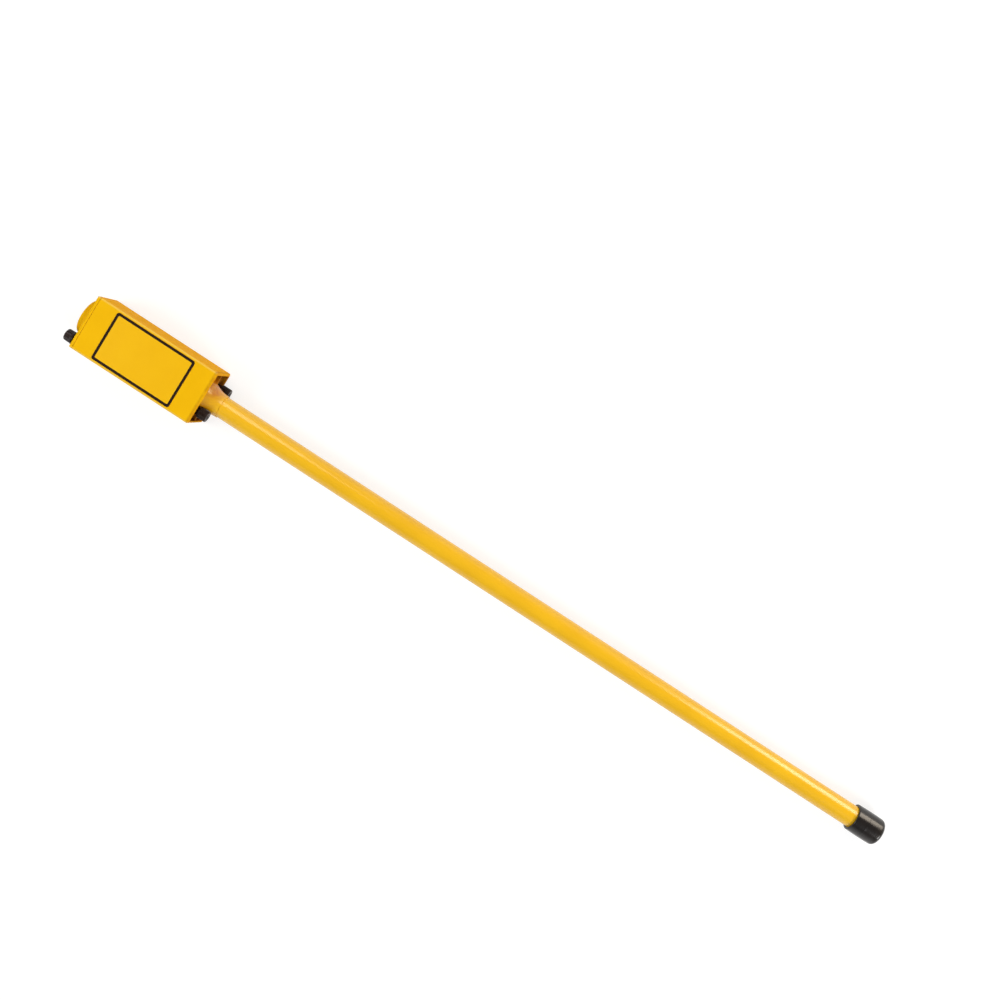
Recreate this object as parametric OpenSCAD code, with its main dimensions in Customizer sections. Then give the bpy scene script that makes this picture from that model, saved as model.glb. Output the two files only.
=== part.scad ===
// Magnetic locator: a long sensor tube with a box of electronics at its upper end.
// The locator lies on its back. X runs along the tube towards the tip, Z points out of the front face.
// The origin is the middle of the housing's back face.

/* [Housing] */
// Length of the housing along the tube, without the controls
housing_length = 156; // [150:1:172]
// Width of the front face
housing_width = 66; // [65:0.5:74]
// Depth from the back face to the front face
housing_depth = 50.8; // [50.2:0.2:60]
// Radius of the housing's long edges
housing_round = 3; // [2.1:0.1:3]
// Radius of the edges round both ends
end_round = 2.8; // [1.5:0.1:3]
// Thickness of the sliding cover's walls
cover_wall = 2; // [1.6:0.1:2.3]
// Thickness of the top cap's plate
top_plate = 4; // [3.5:0.1:5]
// Depth of the recess in the lower end
recess_depth = 5; // [4:0.2:6]
// Width of the rim round that recess
recess_rim = 3.2; // [3.1:0.1:3.4]
// Length of the label on the front face
label_length = 101; // [80:0.5:110]
// Distance of the label from the front face's long edges
label_margin = 3.2; // [3:0.05:6]
// Distance of the label's middle from the housing's middle, towards the tip
label_offset = 0.6; // [-5:0.1:5]

/* [Tube] */
// Outer diameter of the sensor tube
tube_diameter = 25.4; // [24.8:0.1:26]
// Wall of the sensor tube
tube_wall = 1.65; // [1.2:0.05:2]
// Length of tube that stands out of the housing
tube_reach = 887; // [780:1:1000]
// Outer diameter of the tip cap
tip_diameter = 31.8; // [29:0.1:34]
// Length of the tip cap
tip_length = 35; // [30:0.5:50]
// Thickness of the tip cap's closed end
tip_end = 6; // [4:0.5:8]
// Length of the flared collar beyond the lower end
collar_reach = 17.5; // [14:0.5:20]
// Radius of the collar's hollow curve
collar_curve = 40; // [36:1:60]

/* [Sensors] */
// Distance between the two sensors
sensor_spacing = 508; // [450:1:540]
// Distance from the lower sensor's middle to the tube's end
sensor_setback = 62; // [56:1:80]
// Length of a sensor's bobbin
sensor_length = 46; // [36:1:50]
// Diameter of a bobbin's flanges
sensor_diameter = 11; // [9.5:0.1:11.4]

/* [Controls] */
// Diameter of a control knob
knob_diameter = 14.8; // [13.6:0.1:15.2]
// Height of a control knob
knob_height = 10.5; // [10:0.5:14]
// Distance of both knobs' axes from the nearer side of the housing
knob_side = 9.6; // [9.4:0.05:10]
// Distance of each knob's axis from the front or back face
knob_edge = 8.8; // [8.6:0.1:9.2]
// Diameter of the speaker guard
guard_diameter = 41; // [39.5:0.1:42]
// Height of the speaker guard
guard_height = 10; // [8.6:0.2:12]
// Height of the guard's straight side
guard_side = 7; // [6:0.1:8]

/* [Thumb nuts] */
// Diameter of a thumb nut's knurled head
thumb_diameter = 12.8; // [11.8:0.1:12.9]
// Length of that head
thumb_head = 11.5; // [10:0.5:15]
// Distance of the studs from the tube's axis
stud_circle = 21.2; // [21:0.1:21.4]
// Distance of the front stud from the front face
stud_front_inset = 12.35; // [10:0.05:14]
// Distance of the back stud from the back face
stud_back_inset = 8.47; // [8:0.05:10]
// Diameter of a stud
stud_diameter = 5; // [4:0.1:5.4]

/* [Batteries] */
// Length of a battery with its terminals
battery_length = 48.5; // [46:0.5:50]
// Thickness of a battery
battery_thickness = 17.5; // [16:0.1:18]

/* [Hidden] */
$fn = 64;

// Overrun of every cut past the face that it opens
cut = 1;
// Room between the sliding cover and what it slides over
slide_gap = 0.3;
// Room between a turning shaft and its bearing
run_gap = 0.06;
// Room between two pieces that are pushed or glued together
push_gap = 0.05;

// Paints and finishes
yellow = "#f5b916";
black = "#1c1b1b";
steel = "#b9bcc0";

// Heights and places of the housing
axis_z = housing_depth / 2;
housing_top = -housing_length / 2;
housing_low = housing_length / 2;
inner_width = housing_width - 2 * cover_wall;
inner_depth = housing_depth - 2 * cover_wall;
inner_round = housing_round / 2;
sliding_width = inner_width - 2 * slide_gap;
sliding_depth = inner_depth - 2 * slide_gap;
sliding_front = sliding_depth / 2;

// Top cap, with a lip that locates the cover and two posts that carry the tray
plate_inside = housing_top + top_plate;
lip_length = 5;
lip_wall = 1.4;
lip_end = plate_inside + lip_length;
post_radius = 3;
post_length = 12;
post_end = plate_inside + post_length;
post_inset = 1.5;
post_left_share = -0.1;

// Gasket between the top cap and the cover's rim
gasket_thickness = 0.5;
gasket_inset = 0.7;
gasket_end = plate_inside + gasket_thickness;

// Cover sleeve and lower end casting
sleeve_start = gasket_end + push_gap;
casting_length = 11;
sleeve_end = housing_low - casting_length;
spigot_length = 3;
spigot_wall = 2.5;
spigot_start = sleeve_end - spigot_length;
recess_floor = housing_low - recess_depth;
floor_thickness = 3;
floor_inside = recess_floor - floor_thickness;
rib_thickness = 3;
recess_round = 3;

// Tube, its socket and the places along it
tube_radius = tube_diameter / 2;
bore_radius = tube_radius - tube_wall;
tube_end = housing_low + tube_reach;
bulkhead_face = spigot_start - slide_gap;
bulkhead_thickness = 8;
bulkhead_back = bulkhead_face - bulkhead_thickness;
socket_length = 14.7;
socket_wall = 4.3;
socket_radius = tube_radius + socket_wall;
socket_start = bulkhead_back - socket_length;
socket_shoulder = 4;
tube_start = socket_start + socket_shoulder;
throat_radius = bore_radius - tube_wall;
set_screw_radius = 2;
set_screw_x = tube_start + set_screw_radius + socket_shoulder;
plug_length = 14;
plug_wall = 3;

// Flared collar and the seal round the tube
collar_lip = 0.6;
collar_bore = tube_radius + slide_gap;
collar_lip_radius = collar_bore + collar_lip;
collar_root = floor_thickness / 2;
collar_start = recess_floor - collar_root;
collar_height = collar_reach + recess_depth + collar_root;
seal_radius = 1.5;
seal_ring = tube_radius + slide_gap + seal_radius;
seal_groove = seal_ring + seal_radius + push_gap;
hub_wall = 1.6;
hub_radius = seal_groove + hub_wall;
hub_start = spigot_start + slide_gap;
seal_x = hub_start + seal_radius + hub_wall;

// Tip cap
tip_x = tube_end + tip_end;
tip_start = tip_x - tip_length;
tip_radius = tip_diameter / 2;
tip_round = 5;

// Sensors on their beam
sensor_radius = sensor_diameter / 2;
sensor_rise = 2.5;
lower_sensor_x = tube_end - sensor_setback;
upper_sensor_x = lower_sensor_x - sensor_spacing;
flange_thickness = 2;
hub_of_bobbin = 2.2;
core_radius = 0.9;
core_overhang = 2;
winding_inset = 0.6;
beam_thickness = 2.9;
beam_half_width = 5.5;
beam_top = sensor_rise - sensor_radius - push_gap;
beam_bottom = beam_top - beam_thickness;
beam_overhang = 18;
beam_start = upper_sensor_x - sensor_length / 2 - beam_overhang;
beam_end = lower_sensor_x + sensor_length / 2 + beam_overhang;
bush_length = 10;
bush_radius = bore_radius - 2 * push_gap;
bush_end_gap = 3;
bush_count = 4;
bush_first = beam_start + bush_end_gap;
bush_last = beam_end - bush_end_gap - bush_length;
cable_radius = 1.1;
cable_y = 7;
cable_z = -0.5;
cable_end = lower_sensor_x - flange_thickness;

// Controls on the top cap
pot_radius = 4.75;
pot_length = 9;
pot_end = plate_inside + pot_length;
tag_length = 2;
tag_width = 6;
tag_thickness = 1;
shaft_radius = 1.5875;
shaft_seat = 3;
bushing_radius = 3.1;
bushing_reach = 4;
panel_nut_radius = 4.6;
panel_nut_height = 2.2;
knob_radius = knob_diameter / 2;
knob_lift = 1;
knob_crown = 2.5;
knob_chamfer = 1;
flute_count = 18;
flute_radius = 0.9;
flute_depth = 0.45;
pocket_wall = 1.2;
pocket_depth = bushing_reach + knob_lift;
shaft_tip = housing_top - knob_lift - knob_height + knob_crown;
knob_offset = housing_width / 2 - knob_side;
knob_rise = housing_depth / 2 - knob_edge;
control_places = [[-knob_offset, knob_rise], [-knob_offset, -knob_rise]];

// Speaker and its guard
guard_radius = guard_diameter / 2;
guard_knob_gap = 0.8;
speaker_room_share = 0.2757;
speaker_near = sqrt(pow(guard_radius + knob_radius + guard_knob_gap, 2) - knob_rise * knob_rise)
    - knob_offset;
speaker_far = housing_width / 2 - guard_radius;
speaker_y = speaker_near + speaker_room_share * (speaker_far - speaker_near);
guard_wall = 1.6;
guard_crown = guard_height - guard_side;
guard_sphere = (guard_radius * guard_radius + guard_crown * guard_crown) / (2 * guard_crown);
ledge_thickness = 1.2;
ledge_width = 4.5;
slot_width = 2.2;
slot_pitch = 4;
slot_pairs = 3;
slot_margin = 4.6;
screen_thickness = 0.6;
screen_radius = guard_radius - guard_wall - 4 * push_gap;
screen_corner = guard_height - guard_sphere
    + sqrt(pow(guard_sphere - guard_wall, 2) - pow(guard_radius - guard_wall, 2));
screen_height = screen_corner - screen_thickness - push_gap;
speaker_inset = 2;
speaker_radius = guard_radius - guard_wall - speaker_inset;
speaker_flange = 1.4;
speaker_seat = 1.5;
basket_wall = 0.8;
basket_depth = 9.5;
magnet_radius = 9;
magnet_height = 5.5;
cone_wall = 0.4;
cone_rim = 1.5;
cone_throat = 4;
cone_depth = 7;
guard_screw_radius = 1;
guard_screw_head = 1.6;
guard_screw_head_height = 1.2;
guard_screw_depth = 1;
guard_screw_count = 4;
guard_screw_turn = 45;
guard_screw_ring = guard_radius - guard_wall;

// Studs and thumb nuts
stud_radius = stud_diameter / 2;
stud_depth_share = 0.7;
stud_root = bulkhead_face - stud_depth_share * bulkhead_thickness;
thread_gap = 0.12;
washer_thickness = 1;
washer_radius = 5;
thumb_radius = thumb_diameter / 2;
thumb_neck_radius = 4.4;
thumb_foot = recess_floor + washer_thickness;
thumb_head_start = housing_low + knob_lift;
thumb_end = thumb_head_start + thumb_head;
thumb_cap = 2.5;
stud_end = thumb_end - thumb_cap - thread_gap;
knurl_count = 40;
knurl_depth = 0.4;
knurl_margin = 1.6;
knurl_room = 0.7;
stud_front_z = housing_depth / 2 - stud_front_inset;
stud_back_z = stud_back_inset - housing_depth / 2;
stud_places = [[-stud_y(stud_front_z), stud_front_z], [stud_y(stud_back_z), stud_back_z]];

// Chassis tray
tray_thickness = 1.6;
tray_gap = 0.4;
tray_bottom = -sliding_front + tray_gap;
tray_top = tray_bottom + tray_thickness;
tray_inset = 2.4;
tray_half_width = sliding_width / 2 - tray_inset;
tray_start = post_end;
tray_end = bulkhead_back;
tray_front_flange = 11;
tray_back_flange = 8;
tray_screw_radius = 1.5;
tray_screw_head = 2.8;
tray_screw_head_height = 1.8;
tray_screw_depth = 6;
bulkhead_screw_share = 0.88;
tray_screw_z = tray_top + tray_screw_head + push_gap;
post_places = [[sliding_width / 2 - post_radius - post_inset, tray_screw_z],
    [post_left_share * sliding_width / 2, tray_screw_z]];
bulkhead_screw_places = [for (side = [-1, 1])
    [side * bulkhead_screw_share * tray_half_width, tray_screw_z]];

// Circuit board and what stands on it
board_thickness = 1.6;
standoff_height = 6;
standoff_radius = 2.5;
board_bottom = tray_top + standoff_height;
board_top = board_bottom + board_thickness;
board_inset = 3;
board_front_gap = 7.4;
board_back_gap = 6;
board_half_width = tray_half_width - board_inset;
board_start = tray_start + tray_thickness + board_front_gap;
board_end = socket_start - board_back_gap;
board_margin = 4;
board_screw_radius = 1.4;
board_screw_head = 2.4;
board_screw_head_height = 1.6;
board_corners = [for (x = [board_start + board_margin, board_end - board_margin])
    for (y = [-board_half_width + board_margin, board_half_width - board_margin]) [x, y]];
board_run = board_end - board_start;
chip_width = 6.5;
chip_height = 3.5;
chip_length_shares = [0.22, 0.116, 0.116];
chip_x_shares = [0.3, 0.52, 0.68];
capacitor_radius = 4;
capacitor_height_share = 0.72;
capacitor_shares = [0.2, 0.36, 0.52, 0.68];
capacitor_y_share = -0.54;
chip_y = 1;
transformer_length = 16;
transformer_width_share = 0.54;
transformer_height_share = 0.66;
transformer_core = 2;
transformer_share = 0.36;
transformer_y_share = 0.54;
header_length = 8;
header_width = 12;
header_gap = 0.2;
cable_bend_share = 0.46;
cable_bend = cable_bend_share * (cable_z - board_top);
header_top = cable_z - cable_bend;
header_x = cable_x_of_board();

// Batteries on a bracket over the board
strap_thickness = 0.6;
strap_gap = 0.2;
strap_width = 10;
strap_clear = 0.4;
battery_front = sliding_front - strap_clear - strap_thickness - strap_gap;
battery_floor = battery_front - battery_thickness;
battery_split = 2;
battery_round = 2;
terminal_height = 2.8;
terminal_small = 2.9;
terminal_large = 3.9;
terminal_spread = 6.35;
snap_thickness = 2.2;
snap_half_height = 5.5;
snap_gap = 0.2;
bracket_sheet = 1.2;
bracket_clear = 0.1;
bracket_leg = sliding_width / 2 - bracket_clear - strap_thickness - bracket_sheet;
battery_width = bracket_leg - slide_gap - battery_split;
board_room = battery_floor - bracket_sheet - board_top;
spring_room = 6.2;
bracket_length = 2 * bracket_sheet + snap_thickness + snap_gap + battery_length + spring_room;
bracket_room_share = 0.527;
bracket_front = pot_end + tag_length;
bracket_start = bracket_front + bracket_room_share * (socket_start - bracket_front - bracket_length);
bracket_end = bracket_start + bracket_length;
battery_x = bracket_start + bracket_sheet + snap_thickness + snap_gap;
battery_body_x = battery_x + terminal_height;
battery_end = battery_x + battery_length;
spring_wall = 0.5;
spring_width = 12;
spring_gap = 0.1;
bracket_flange = 12;
leg_inset = 8;
leg_start = bracket_start + leg_inset;
leg_end = bracket_end - leg_inset;
foot_width = 4;
foot_screw_inset = 8;

// Label on the front face
label_width = housing_width - 2 * label_margin;
label_thickness = 0.3;
label_round = 3;

// Distance across the width at which a stud of that height lies on the studs' circle
function stud_y(height) = sqrt(max(0, stud_circle * stud_circle - height * height));

// Place along the tube where the sensor cable comes down on the board
function cable_x_of_board() = board_end - board_margin - board_screw_head - header_gap
    - header_length / 2;

// Frame whose third axis runs along the tube from x, with the first axis across and the second to the front
module along(x) {
    translate([x, 0, axis_z]) rotate([90, 0, 90]) children();
}

// The same frame seen from the other end, with its third axis away from the tip
module away(x) {
    translate([x, 0, axis_z]) mirror([1, 0, 0]) rotate([90, 0, 90]) children();
}

// Round bar along the tube
module rod(from, to, radius, place = [0, 0]) {
    along(from) translate(place) cylinder(r = radius, h = to - from);
}

// Box between two corners, with heights taken from the tube's axis
module slab(from, to) {
    translate([from.x, from.y, axis_z + from.z]) cube(to - from);
}

// What lies on the right-hand side, and its mirror image on the left
module both_sides() {
    children();
    mirror([0, 1, 0]) children();
}

// Rectangle with round corners, made of bars and discs
module round_rectangle(size, radius) {
    square([size.x - 2 * radius, size.y], center = true);
    square([size.x, size.y - 2 * radius], center = true);
    for (x = [-1, 1])
        for (y = [-1, 1])
            translate([x * (size.x / 2 - radius), y * (size.y / 2 - radius)]) circle(radius);
}

// Prism along the tube with round long edges
module prism(from, to, size, radius) {
    along(from) linear_extrude(to - from) round_rectangle(size, radius);
}

// Outer form of the housing between two places, with its end edges rounded
module housing_form(from, to) {
    middle = [0, 0, axis_z];
    intersection() {
        prism(from, to, [housing_width, housing_depth], housing_round);
        translate(middle) linear_extrude(housing_depth + 2 * cut, center = true)
            round_rectangle([housing_length, housing_width], end_round);
        translate(middle) rotate([90, 0, 0]) linear_extrude(housing_width + 2 * cut, center = true)
            round_rectangle([housing_length, housing_depth], end_round);
    }
}

// Screw along the tube, with its head at x and its shank towards the tip or away from it
module screw(x, place, radius, head, head_height, depth, turned = false) {
    translate([x, 0, 0]) mirror([turned ? 1 : 0, 0, 0]) {
        rod(-head_height, 0, head, place);
        rod(-head_height, depth, radius, place);
    }
}

// Upright screw with its head on a surface
module upright_screw(place, radius, head, head_height, depth) {
    translate([place.x, place.y, axis_z + place.z]) {
        cylinder(r = head, h = head_height);
        translate([0, 0, -depth]) cylinder(r = radius, h = depth + head_height);
    }
}

// Four-walled sleeve of the cover, open at the top end
module cover_sleeve() color(yellow) difference() {
    prism(sleeve_start, sleeve_end, [housing_width, housing_depth], housing_round);
    prism(sleeve_start - cut, sleeve_end + cut, [inner_width, inner_depth], inner_round);
}

// Cast lower end of the cover: a recessed face with a rim, two ribs and the flared collar of the tube
module lower_end() color(yellow) difference() {
    union() {
        difference() {
            union() {
                housing_form(sleeve_end, housing_low);
                prism(spigot_start, sleeve_end + cut,
                    [inner_width - 2 * push_gap, inner_depth - 2 * push_gap], inner_round);
            }
            prism(spigot_start - cut, floor_inside,
                [inner_width - 2 * spigot_wall, inner_depth - 2 * spigot_wall], inner_round);
            prism(recess_floor, housing_low + cut,
                [housing_width - 2 * recess_rim, housing_depth - 2 * recess_rim], recess_round);
        }
        difference() {
            union() {
                collar();
                recess_ribs();
            }
            for (place = stud_places)
                rod(collar_start - cut, housing_low + collar_reach + cut, thumb_radius + knurl_room, place);
        }
        rod(hub_start, floor_inside + cut, hub_radius);
    }
    rod(hub_start - cut, housing_low + collar_reach + cut, collar_bore);
    along(seal_x) rotate_extrude() translate([0, -seal_radius - push_gap])
        square([seal_groove, 2 * (seal_radius + push_gap)]);
    for (place = stud_places)
        rod(floor_inside - cut, recess_floor + cut, stud_radius + slide_gap, place);
}

// Trumpet form that is rooted in the recess's floor and dies out on the tube
module collar() {
    foot = collar_lip_radius + collar_curve
        - sqrt(collar_curve * collar_curve - collar_height * collar_height);
    along(collar_start) rotate_extrude() difference() {
        square([foot, collar_height]);
        translate([collar_lip_radius + collar_curve, collar_height]) circle(collar_curve, $fn = 180);
    }
}

// Two ribs that tie the collar to the rim
module recess_ribs() {
    slab([collar_start, -housing_width / 2 + recess_rim / 2, -rib_thickness / 2],
        [housing_low - rib_thickness / 2, housing_width / 2 - recess_rim / 2, rib_thickness / 2]);
}

// Thin plate on the front face
module label_plate() color("#fcc41f")
    translate([label_offset, 0, housing_depth]) linear_extrude(label_thickness)
        round_rectangle([label_length, label_width], label_round);

// Rubber ring in the groove of the collar's hub
module tube_seal() color(black)
    along(seal_x) rotate_extrude() translate([seal_ring, 0]) circle(seal_radius);

// Flat washers under both thumb nuts
module nut_washers() color(steel)
    for (place = stud_places) difference() {
        rod(recess_floor, thumb_foot, washer_radius, place);
        rod(recess_floor - cut, thumb_foot + cut, stud_radius + slide_gap, place);
    }

// Knurled thumb nut with a plain neck and a closed end
module thumb_nut(place) color(black) difference() {
    union() {
        rod(thumb_foot, thumb_head_start + knurl_margin, thumb_neck_radius, place);
        along(thumb_head_start) translate(place) rotate_extrude() thumb_profile();
        along(thumb_head_start + knurl_margin) translate(place)
            linear_extrude(thumb_head - 2 * knurl_margin) knurl();
    }
    rod(thumb_foot - cut, stud_end + thread_gap, stud_radius + thread_gap, place);
}

// Half section of a thumb nut's head, with chamfered rims
module thumb_profile() {
    core = thumb_radius - knurl_depth;
    chamfer = knurl_margin / 2;
    polygon([[0, 0], [core - chamfer, 0], [core, chamfer], [core, thumb_head - chamfer],
        [core - chamfer, thumb_head], [0, thumb_head]]);
}

// Toothed outline of the knurled band
module knurl() {
    polygon([for (i = [0 : 2 * knurl_count - 1])
        let (radius = i % 2 == 0 ? thumb_radius : thumb_radius - knurl_depth, angle = 180 * i / knurl_count)
            radius * [cos(angle), sin(angle)]]);
}

module thumb_nut_front() thumb_nut(stud_places[0]);

module thumb_nut_back() thumb_nut(stud_places[1]);

// Top cap: the plate that closes the cover, with a lip inside and posts for the tray
module top_cap() color(yellow) difference() {
    union() {
        housing_form(housing_top, plate_inside);
        difference() {
            prism(plate_inside - cut, lip_end, [sliding_width, sliding_depth], inner_round);
            prism(plate_inside, lip_end + cut,
                [sliding_width - 2 * lip_wall, sliding_depth - 2 * lip_wall], inner_round);
        }
        for (place = post_places)
            rod(plate_inside - cut, post_end, post_radius, place);
    }
    rod(housing_top - cut, plate_inside + cut, speaker_radius - speaker_seat, [speaker_y, 0]);
    rod(housing_top - cut, housing_top + speaker_seat, speaker_radius + 2 * push_gap, [speaker_y, 0]);
    for (place = control_places)
        rod(housing_top - cut, plate_inside + cut, bushing_radius + push_gap, place);
    for (place = post_places)
        rod(post_end - tray_screw_depth, post_end + cut, tray_screw_radius + push_gap, place);
    for (place = guard_screw_places())
        rod(housing_top - cut, plate_inside + cut, guard_screw_radius + push_gap, place);
}

// Flat amber rubber frame under the cover's rim
module cover_gasket() color("#c08a24") difference() {
    prism(plate_inside, gasket_end,
        [housing_width - 2 * gasket_inset, housing_depth - 2 * gasket_inset], housing_round - gasket_inset);
    prism(plate_inside - cut, gasket_end + cut, [inner_width, inner_depth], inner_round);
}

// Places of the screws that hold the speaker guard
function guard_screw_places() = [for (i = [0 : guard_screw_count - 1])
    let (angle = guard_screw_turn + 360 * i / guard_screw_count)
        [speaker_y, 0] + guard_screw_ring * [cos(angle), sin(angle)]];

// Half section of a domed form with the given radius, straight top limit and sphere
module dome_profile(radius, sphere) {
    intersection() {
        square([radius, guard_height]);
        translate([0, guard_height - guard_sphere]) circle(sphere, $fn = 180);
    }
}

// Domed guard over the speaker, with a row of sound slots
module speaker_guard() color(yellow) difference() {
    away(housing_top) translate([speaker_y, 0]) rotate_extrude() difference() {
        dome_profile(guard_radius, guard_sphere);
        difference() {
            dome_profile(guard_radius - guard_wall, guard_sphere - guard_wall);
            square([guard_radius, ledge_thickness]);
        }
        translate([0, -cut]) square([guard_radius - ledge_width, ledge_thickness + 2 * cut]);
    }
    away(housing_top + cut) translate([speaker_y, 0, guard_side])
        linear_extrude(guard_height) sound_slots();
    for (place = guard_screw_places())
        rod(housing_top - guard_screw_depth, housing_top + cut, guard_screw_radius + push_gap, place);
}

// Parallel slots that fill a round field
module sound_slots() {
    field = guard_radius - slot_margin;
    for (i = [-slot_pairs : slot_pairs]) {
        half = sqrt(field * field - pow(i * slot_pitch, 2));
        translate([0, i * slot_pitch]) {
            square([2 * half, slot_width], center = true);
            for (side = [-1, 1]) translate([side * half, 0]) circle(slot_width / 2);
        }
    }
}

// Dark cloth behind the sound slots
module speaker_screen() color("#26241f")
    away(housing_top - screen_height) translate([speaker_y, 0])
        cylinder(r = screen_radius, h = screen_thickness);

// Half section of a tapered sheet-metal wall
module taper(outer, inner, depth, wall) {
    polygon([[outer - wall, 0], [outer, 0], [inner, depth], [inner - wall, depth]]);
}

// Speaker basket: a flange in the top cap's seat and a tapered body down to the magnet
module speaker_basket() color("#4a4c50") along(housing_top) translate([speaker_y, 0]) rotate_extrude() {
    hole = speaker_radius - speaker_seat - 2 * push_gap;
    translate([hole - basket_wall, push_gap]) square([speaker_radius - hole + basket_wall, speaker_flange]);
    translate([0, push_gap]) taper(hole, magnet_radius, basket_depth, basket_wall);
    translate([0, basket_depth - basket_wall + push_gap]) square([magnet_radius, basket_wall]);
}

// Paper cone with its dust cap
module speaker_cone() color("#2b2a28") along(housing_top) translate([speaker_y, 0]) rotate_extrude() {
    rim = speaker_radius - speaker_seat - cone_rim;
    translate([0, basket_wall]) {
        taper(rim, cone_throat, cone_depth, cone_wall);
        translate([0, cone_depth - cone_wall]) square([cone_throat, cone_wall + basket_wall]);
    }
}

module speaker_magnet() color(steel)
    rod(housing_top + basket_depth + push_gap, housing_top + basket_depth + magnet_height, magnet_radius,
        [speaker_y, 0]);

// Screws that hold the guard from inside the top cap
module guard_screws() color(steel)
    for (place = guard_screw_places())
        screw(plate_inside, place, guard_screw_radius, guard_screw_head, guard_screw_head_height,
            top_plate + guard_screw_depth - push_gap, turned = true);

// Body, bushing and tags of a panel control
module panel_control(place) color("#3f4750") {
    difference() {
        union() {
            rod(plate_inside, pot_end, pot_radius, place);
            rod(housing_top - bushing_reach, pot_end, bushing_radius, place);
        }
        rod(housing_top - bushing_reach - cut, pot_end - shaft_seat, shaft_radius + run_gap, place);
    }
    slab([pot_end - cut, place.x - tag_width / 2, place.y - tag_thickness / 2],
        [pot_end + tag_length, place.x + tag_width / 2, place.y + tag_thickness / 2]);
}

module volume_pot() panel_control(control_places[0]);

module sensitivity_switch() panel_control(control_places[1]);

// Hexagon nuts that clamp both controls to the top cap
module panel_nuts() color(steel)
    for (place = control_places) difference() {
        along(housing_top - panel_nut_height) translate(place)
            cylinder(r = panel_nut_radius, h = panel_nut_height, $fn = 6);
        rod(housing_top - panel_nut_height - cut, housing_top + cut, bushing_radius + push_gap, place);
    }

// Round shaft of a control, from the bottom of its bearing into the knob
module control_shaft(place) color(steel)
    rod(shaft_tip, pot_end - shaft_seat - run_gap, shaft_radius, place);

module volume_shaft() control_shaft(control_places[0]);

module sensitivity_shaft() control_shaft(control_places[1]);

// Fluted knob with a chamfered crown, hollow underneath for the panel nut
module control_knob(place) color(black) difference() {
    away(housing_top - knob_lift) translate(place) difference() {
        rotate_extrude() polygon([[0, 0], [knob_radius, 0], [knob_radius, knob_height - knob_chamfer],
            [knob_radius - knob_chamfer, knob_height], [0, knob_height]]);
        for (i = [0 : flute_count - 1])
            rotate(360 * i / flute_count) translate([knob_radius + flute_radius - flute_depth, 0, -cut])
                cylinder(r = flute_radius, h = knob_height + 2 * cut);
        translate([0, 0, -cut]) cylinder(r = knob_radius - pocket_wall, h = pocket_depth - knob_lift + cut);
    }
    rod(shaft_tip - push_gap, housing_top, shaft_radius + push_gap / 2, place);
}

module volume_knob() control_knob(control_places[0]);

module sensitivity_knob() control_knob(control_places[1]);

// Inner bulkhead with the socket that holds the tube and the holes of the studs
module tube_bulkhead() color("#a9adb3") difference() {
    union() {
        prism(bulkhead_back, bulkhead_face, [sliding_width, sliding_depth], inner_round);
        rod(socket_start, bulkhead_back + cut, socket_radius);
    }
    rod(tube_start, bulkhead_face + cut, tube_radius + push_gap);
    rod(socket_start - cut, tube_start + cut, throat_radius);
    for (place = stud_places)
        rod(stud_root, bulkhead_face + cut, stud_radius + push_gap, place);
    for (place = bulkhead_screw_places)
        rod(bulkhead_back - cut, bulkhead_back + tray_screw_depth, tray_screw_radius + push_gap, place);
    for (side = [-1, 1])
        translate([set_screw_x, 0, axis_z]) rotate([side * -90, 0, 0])
            cylinder(r = set_screw_radius + push_gap, h = socket_radius + cut);
}

// Studs that stand out of the bulkhead through the cover's lower end
module cover_studs() color(steel)
    for (place = stud_places)
        rod(stud_root + push_gap, stud_end, stud_radius, place);

// Set screws that grip the tube in its socket
module set_screws() color(steel)
    for (side = [-1, 1])
        translate([set_screw_x, 0, axis_z]) rotate([side * -90, 0, 0])
            translate([0, 0, tube_radius + push_gap])
                cylinder(r = set_screw_radius, h = socket_radius - tube_radius - push_gap);

// Folded sheet tray between the top cap's posts and the bulkhead
module chassis_tray() color("#c3c7cb") difference() {
    union() {
        slab([tray_start, -tray_half_width, tray_bottom], [tray_end, tray_half_width, tray_top]);
        slab([tray_start, -tray_half_width, tray_bottom],
            [tray_start + tray_thickness, tray_half_width, tray_bottom + tray_front_flange]);
        slab([tray_end - tray_thickness, -tray_half_width, tray_bottom],
            [tray_end, tray_half_width, tray_bottom + tray_back_flange]);
    }
    rod(socket_start - cut, tray_end + cut, socket_radius + slide_gap);
    for (place = post_places)
        rod(tray_start - cut, tray_start + tray_thickness + cut, tray_screw_radius + push_gap, place);
    for (place = bulkhead_screw_places)
        rod(tray_end - tray_thickness - cut, tray_end + cut, tray_screw_radius + push_gap, place);
    for (corner = board_corners)
        translate([corner.x, corner.y, axis_z + tray_bottom - cut])
            cylinder(r = board_screw_radius + push_gap, h = tray_thickness + 2 * cut);
    for (place = foot_screw_places())
        translate([place.x, place.y, axis_z + tray_bottom - cut])
            cylinder(r = board_screw_radius + push_gap, h = tray_thickness + 2 * cut);
}

// Screws at both ends of the tray
module tray_screws() color(steel) {
    depth = tray_screw_depth - push_gap;
    for (place = post_places)
        screw(tray_start + tray_thickness, place, tray_screw_radius, tray_screw_head, tray_screw_head_height,
            depth, turned = true);
    for (place = bulkhead_screw_places)
        screw(tray_end - tray_thickness, place, tray_screw_radius, tray_screw_head, tray_screw_head_height,
            depth);
}

module circuit_board() color("#2f6b3c") difference() {
    slab([board_start, -board_half_width, board_bottom], [board_end, board_half_width, board_top]);
    for (corner = board_corners)
        translate([corner.x, corner.y, axis_z + board_bottom - cut])
            cylinder(r = board_screw_radius + push_gap, h = board_thickness + 2 * cut);
}

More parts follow.
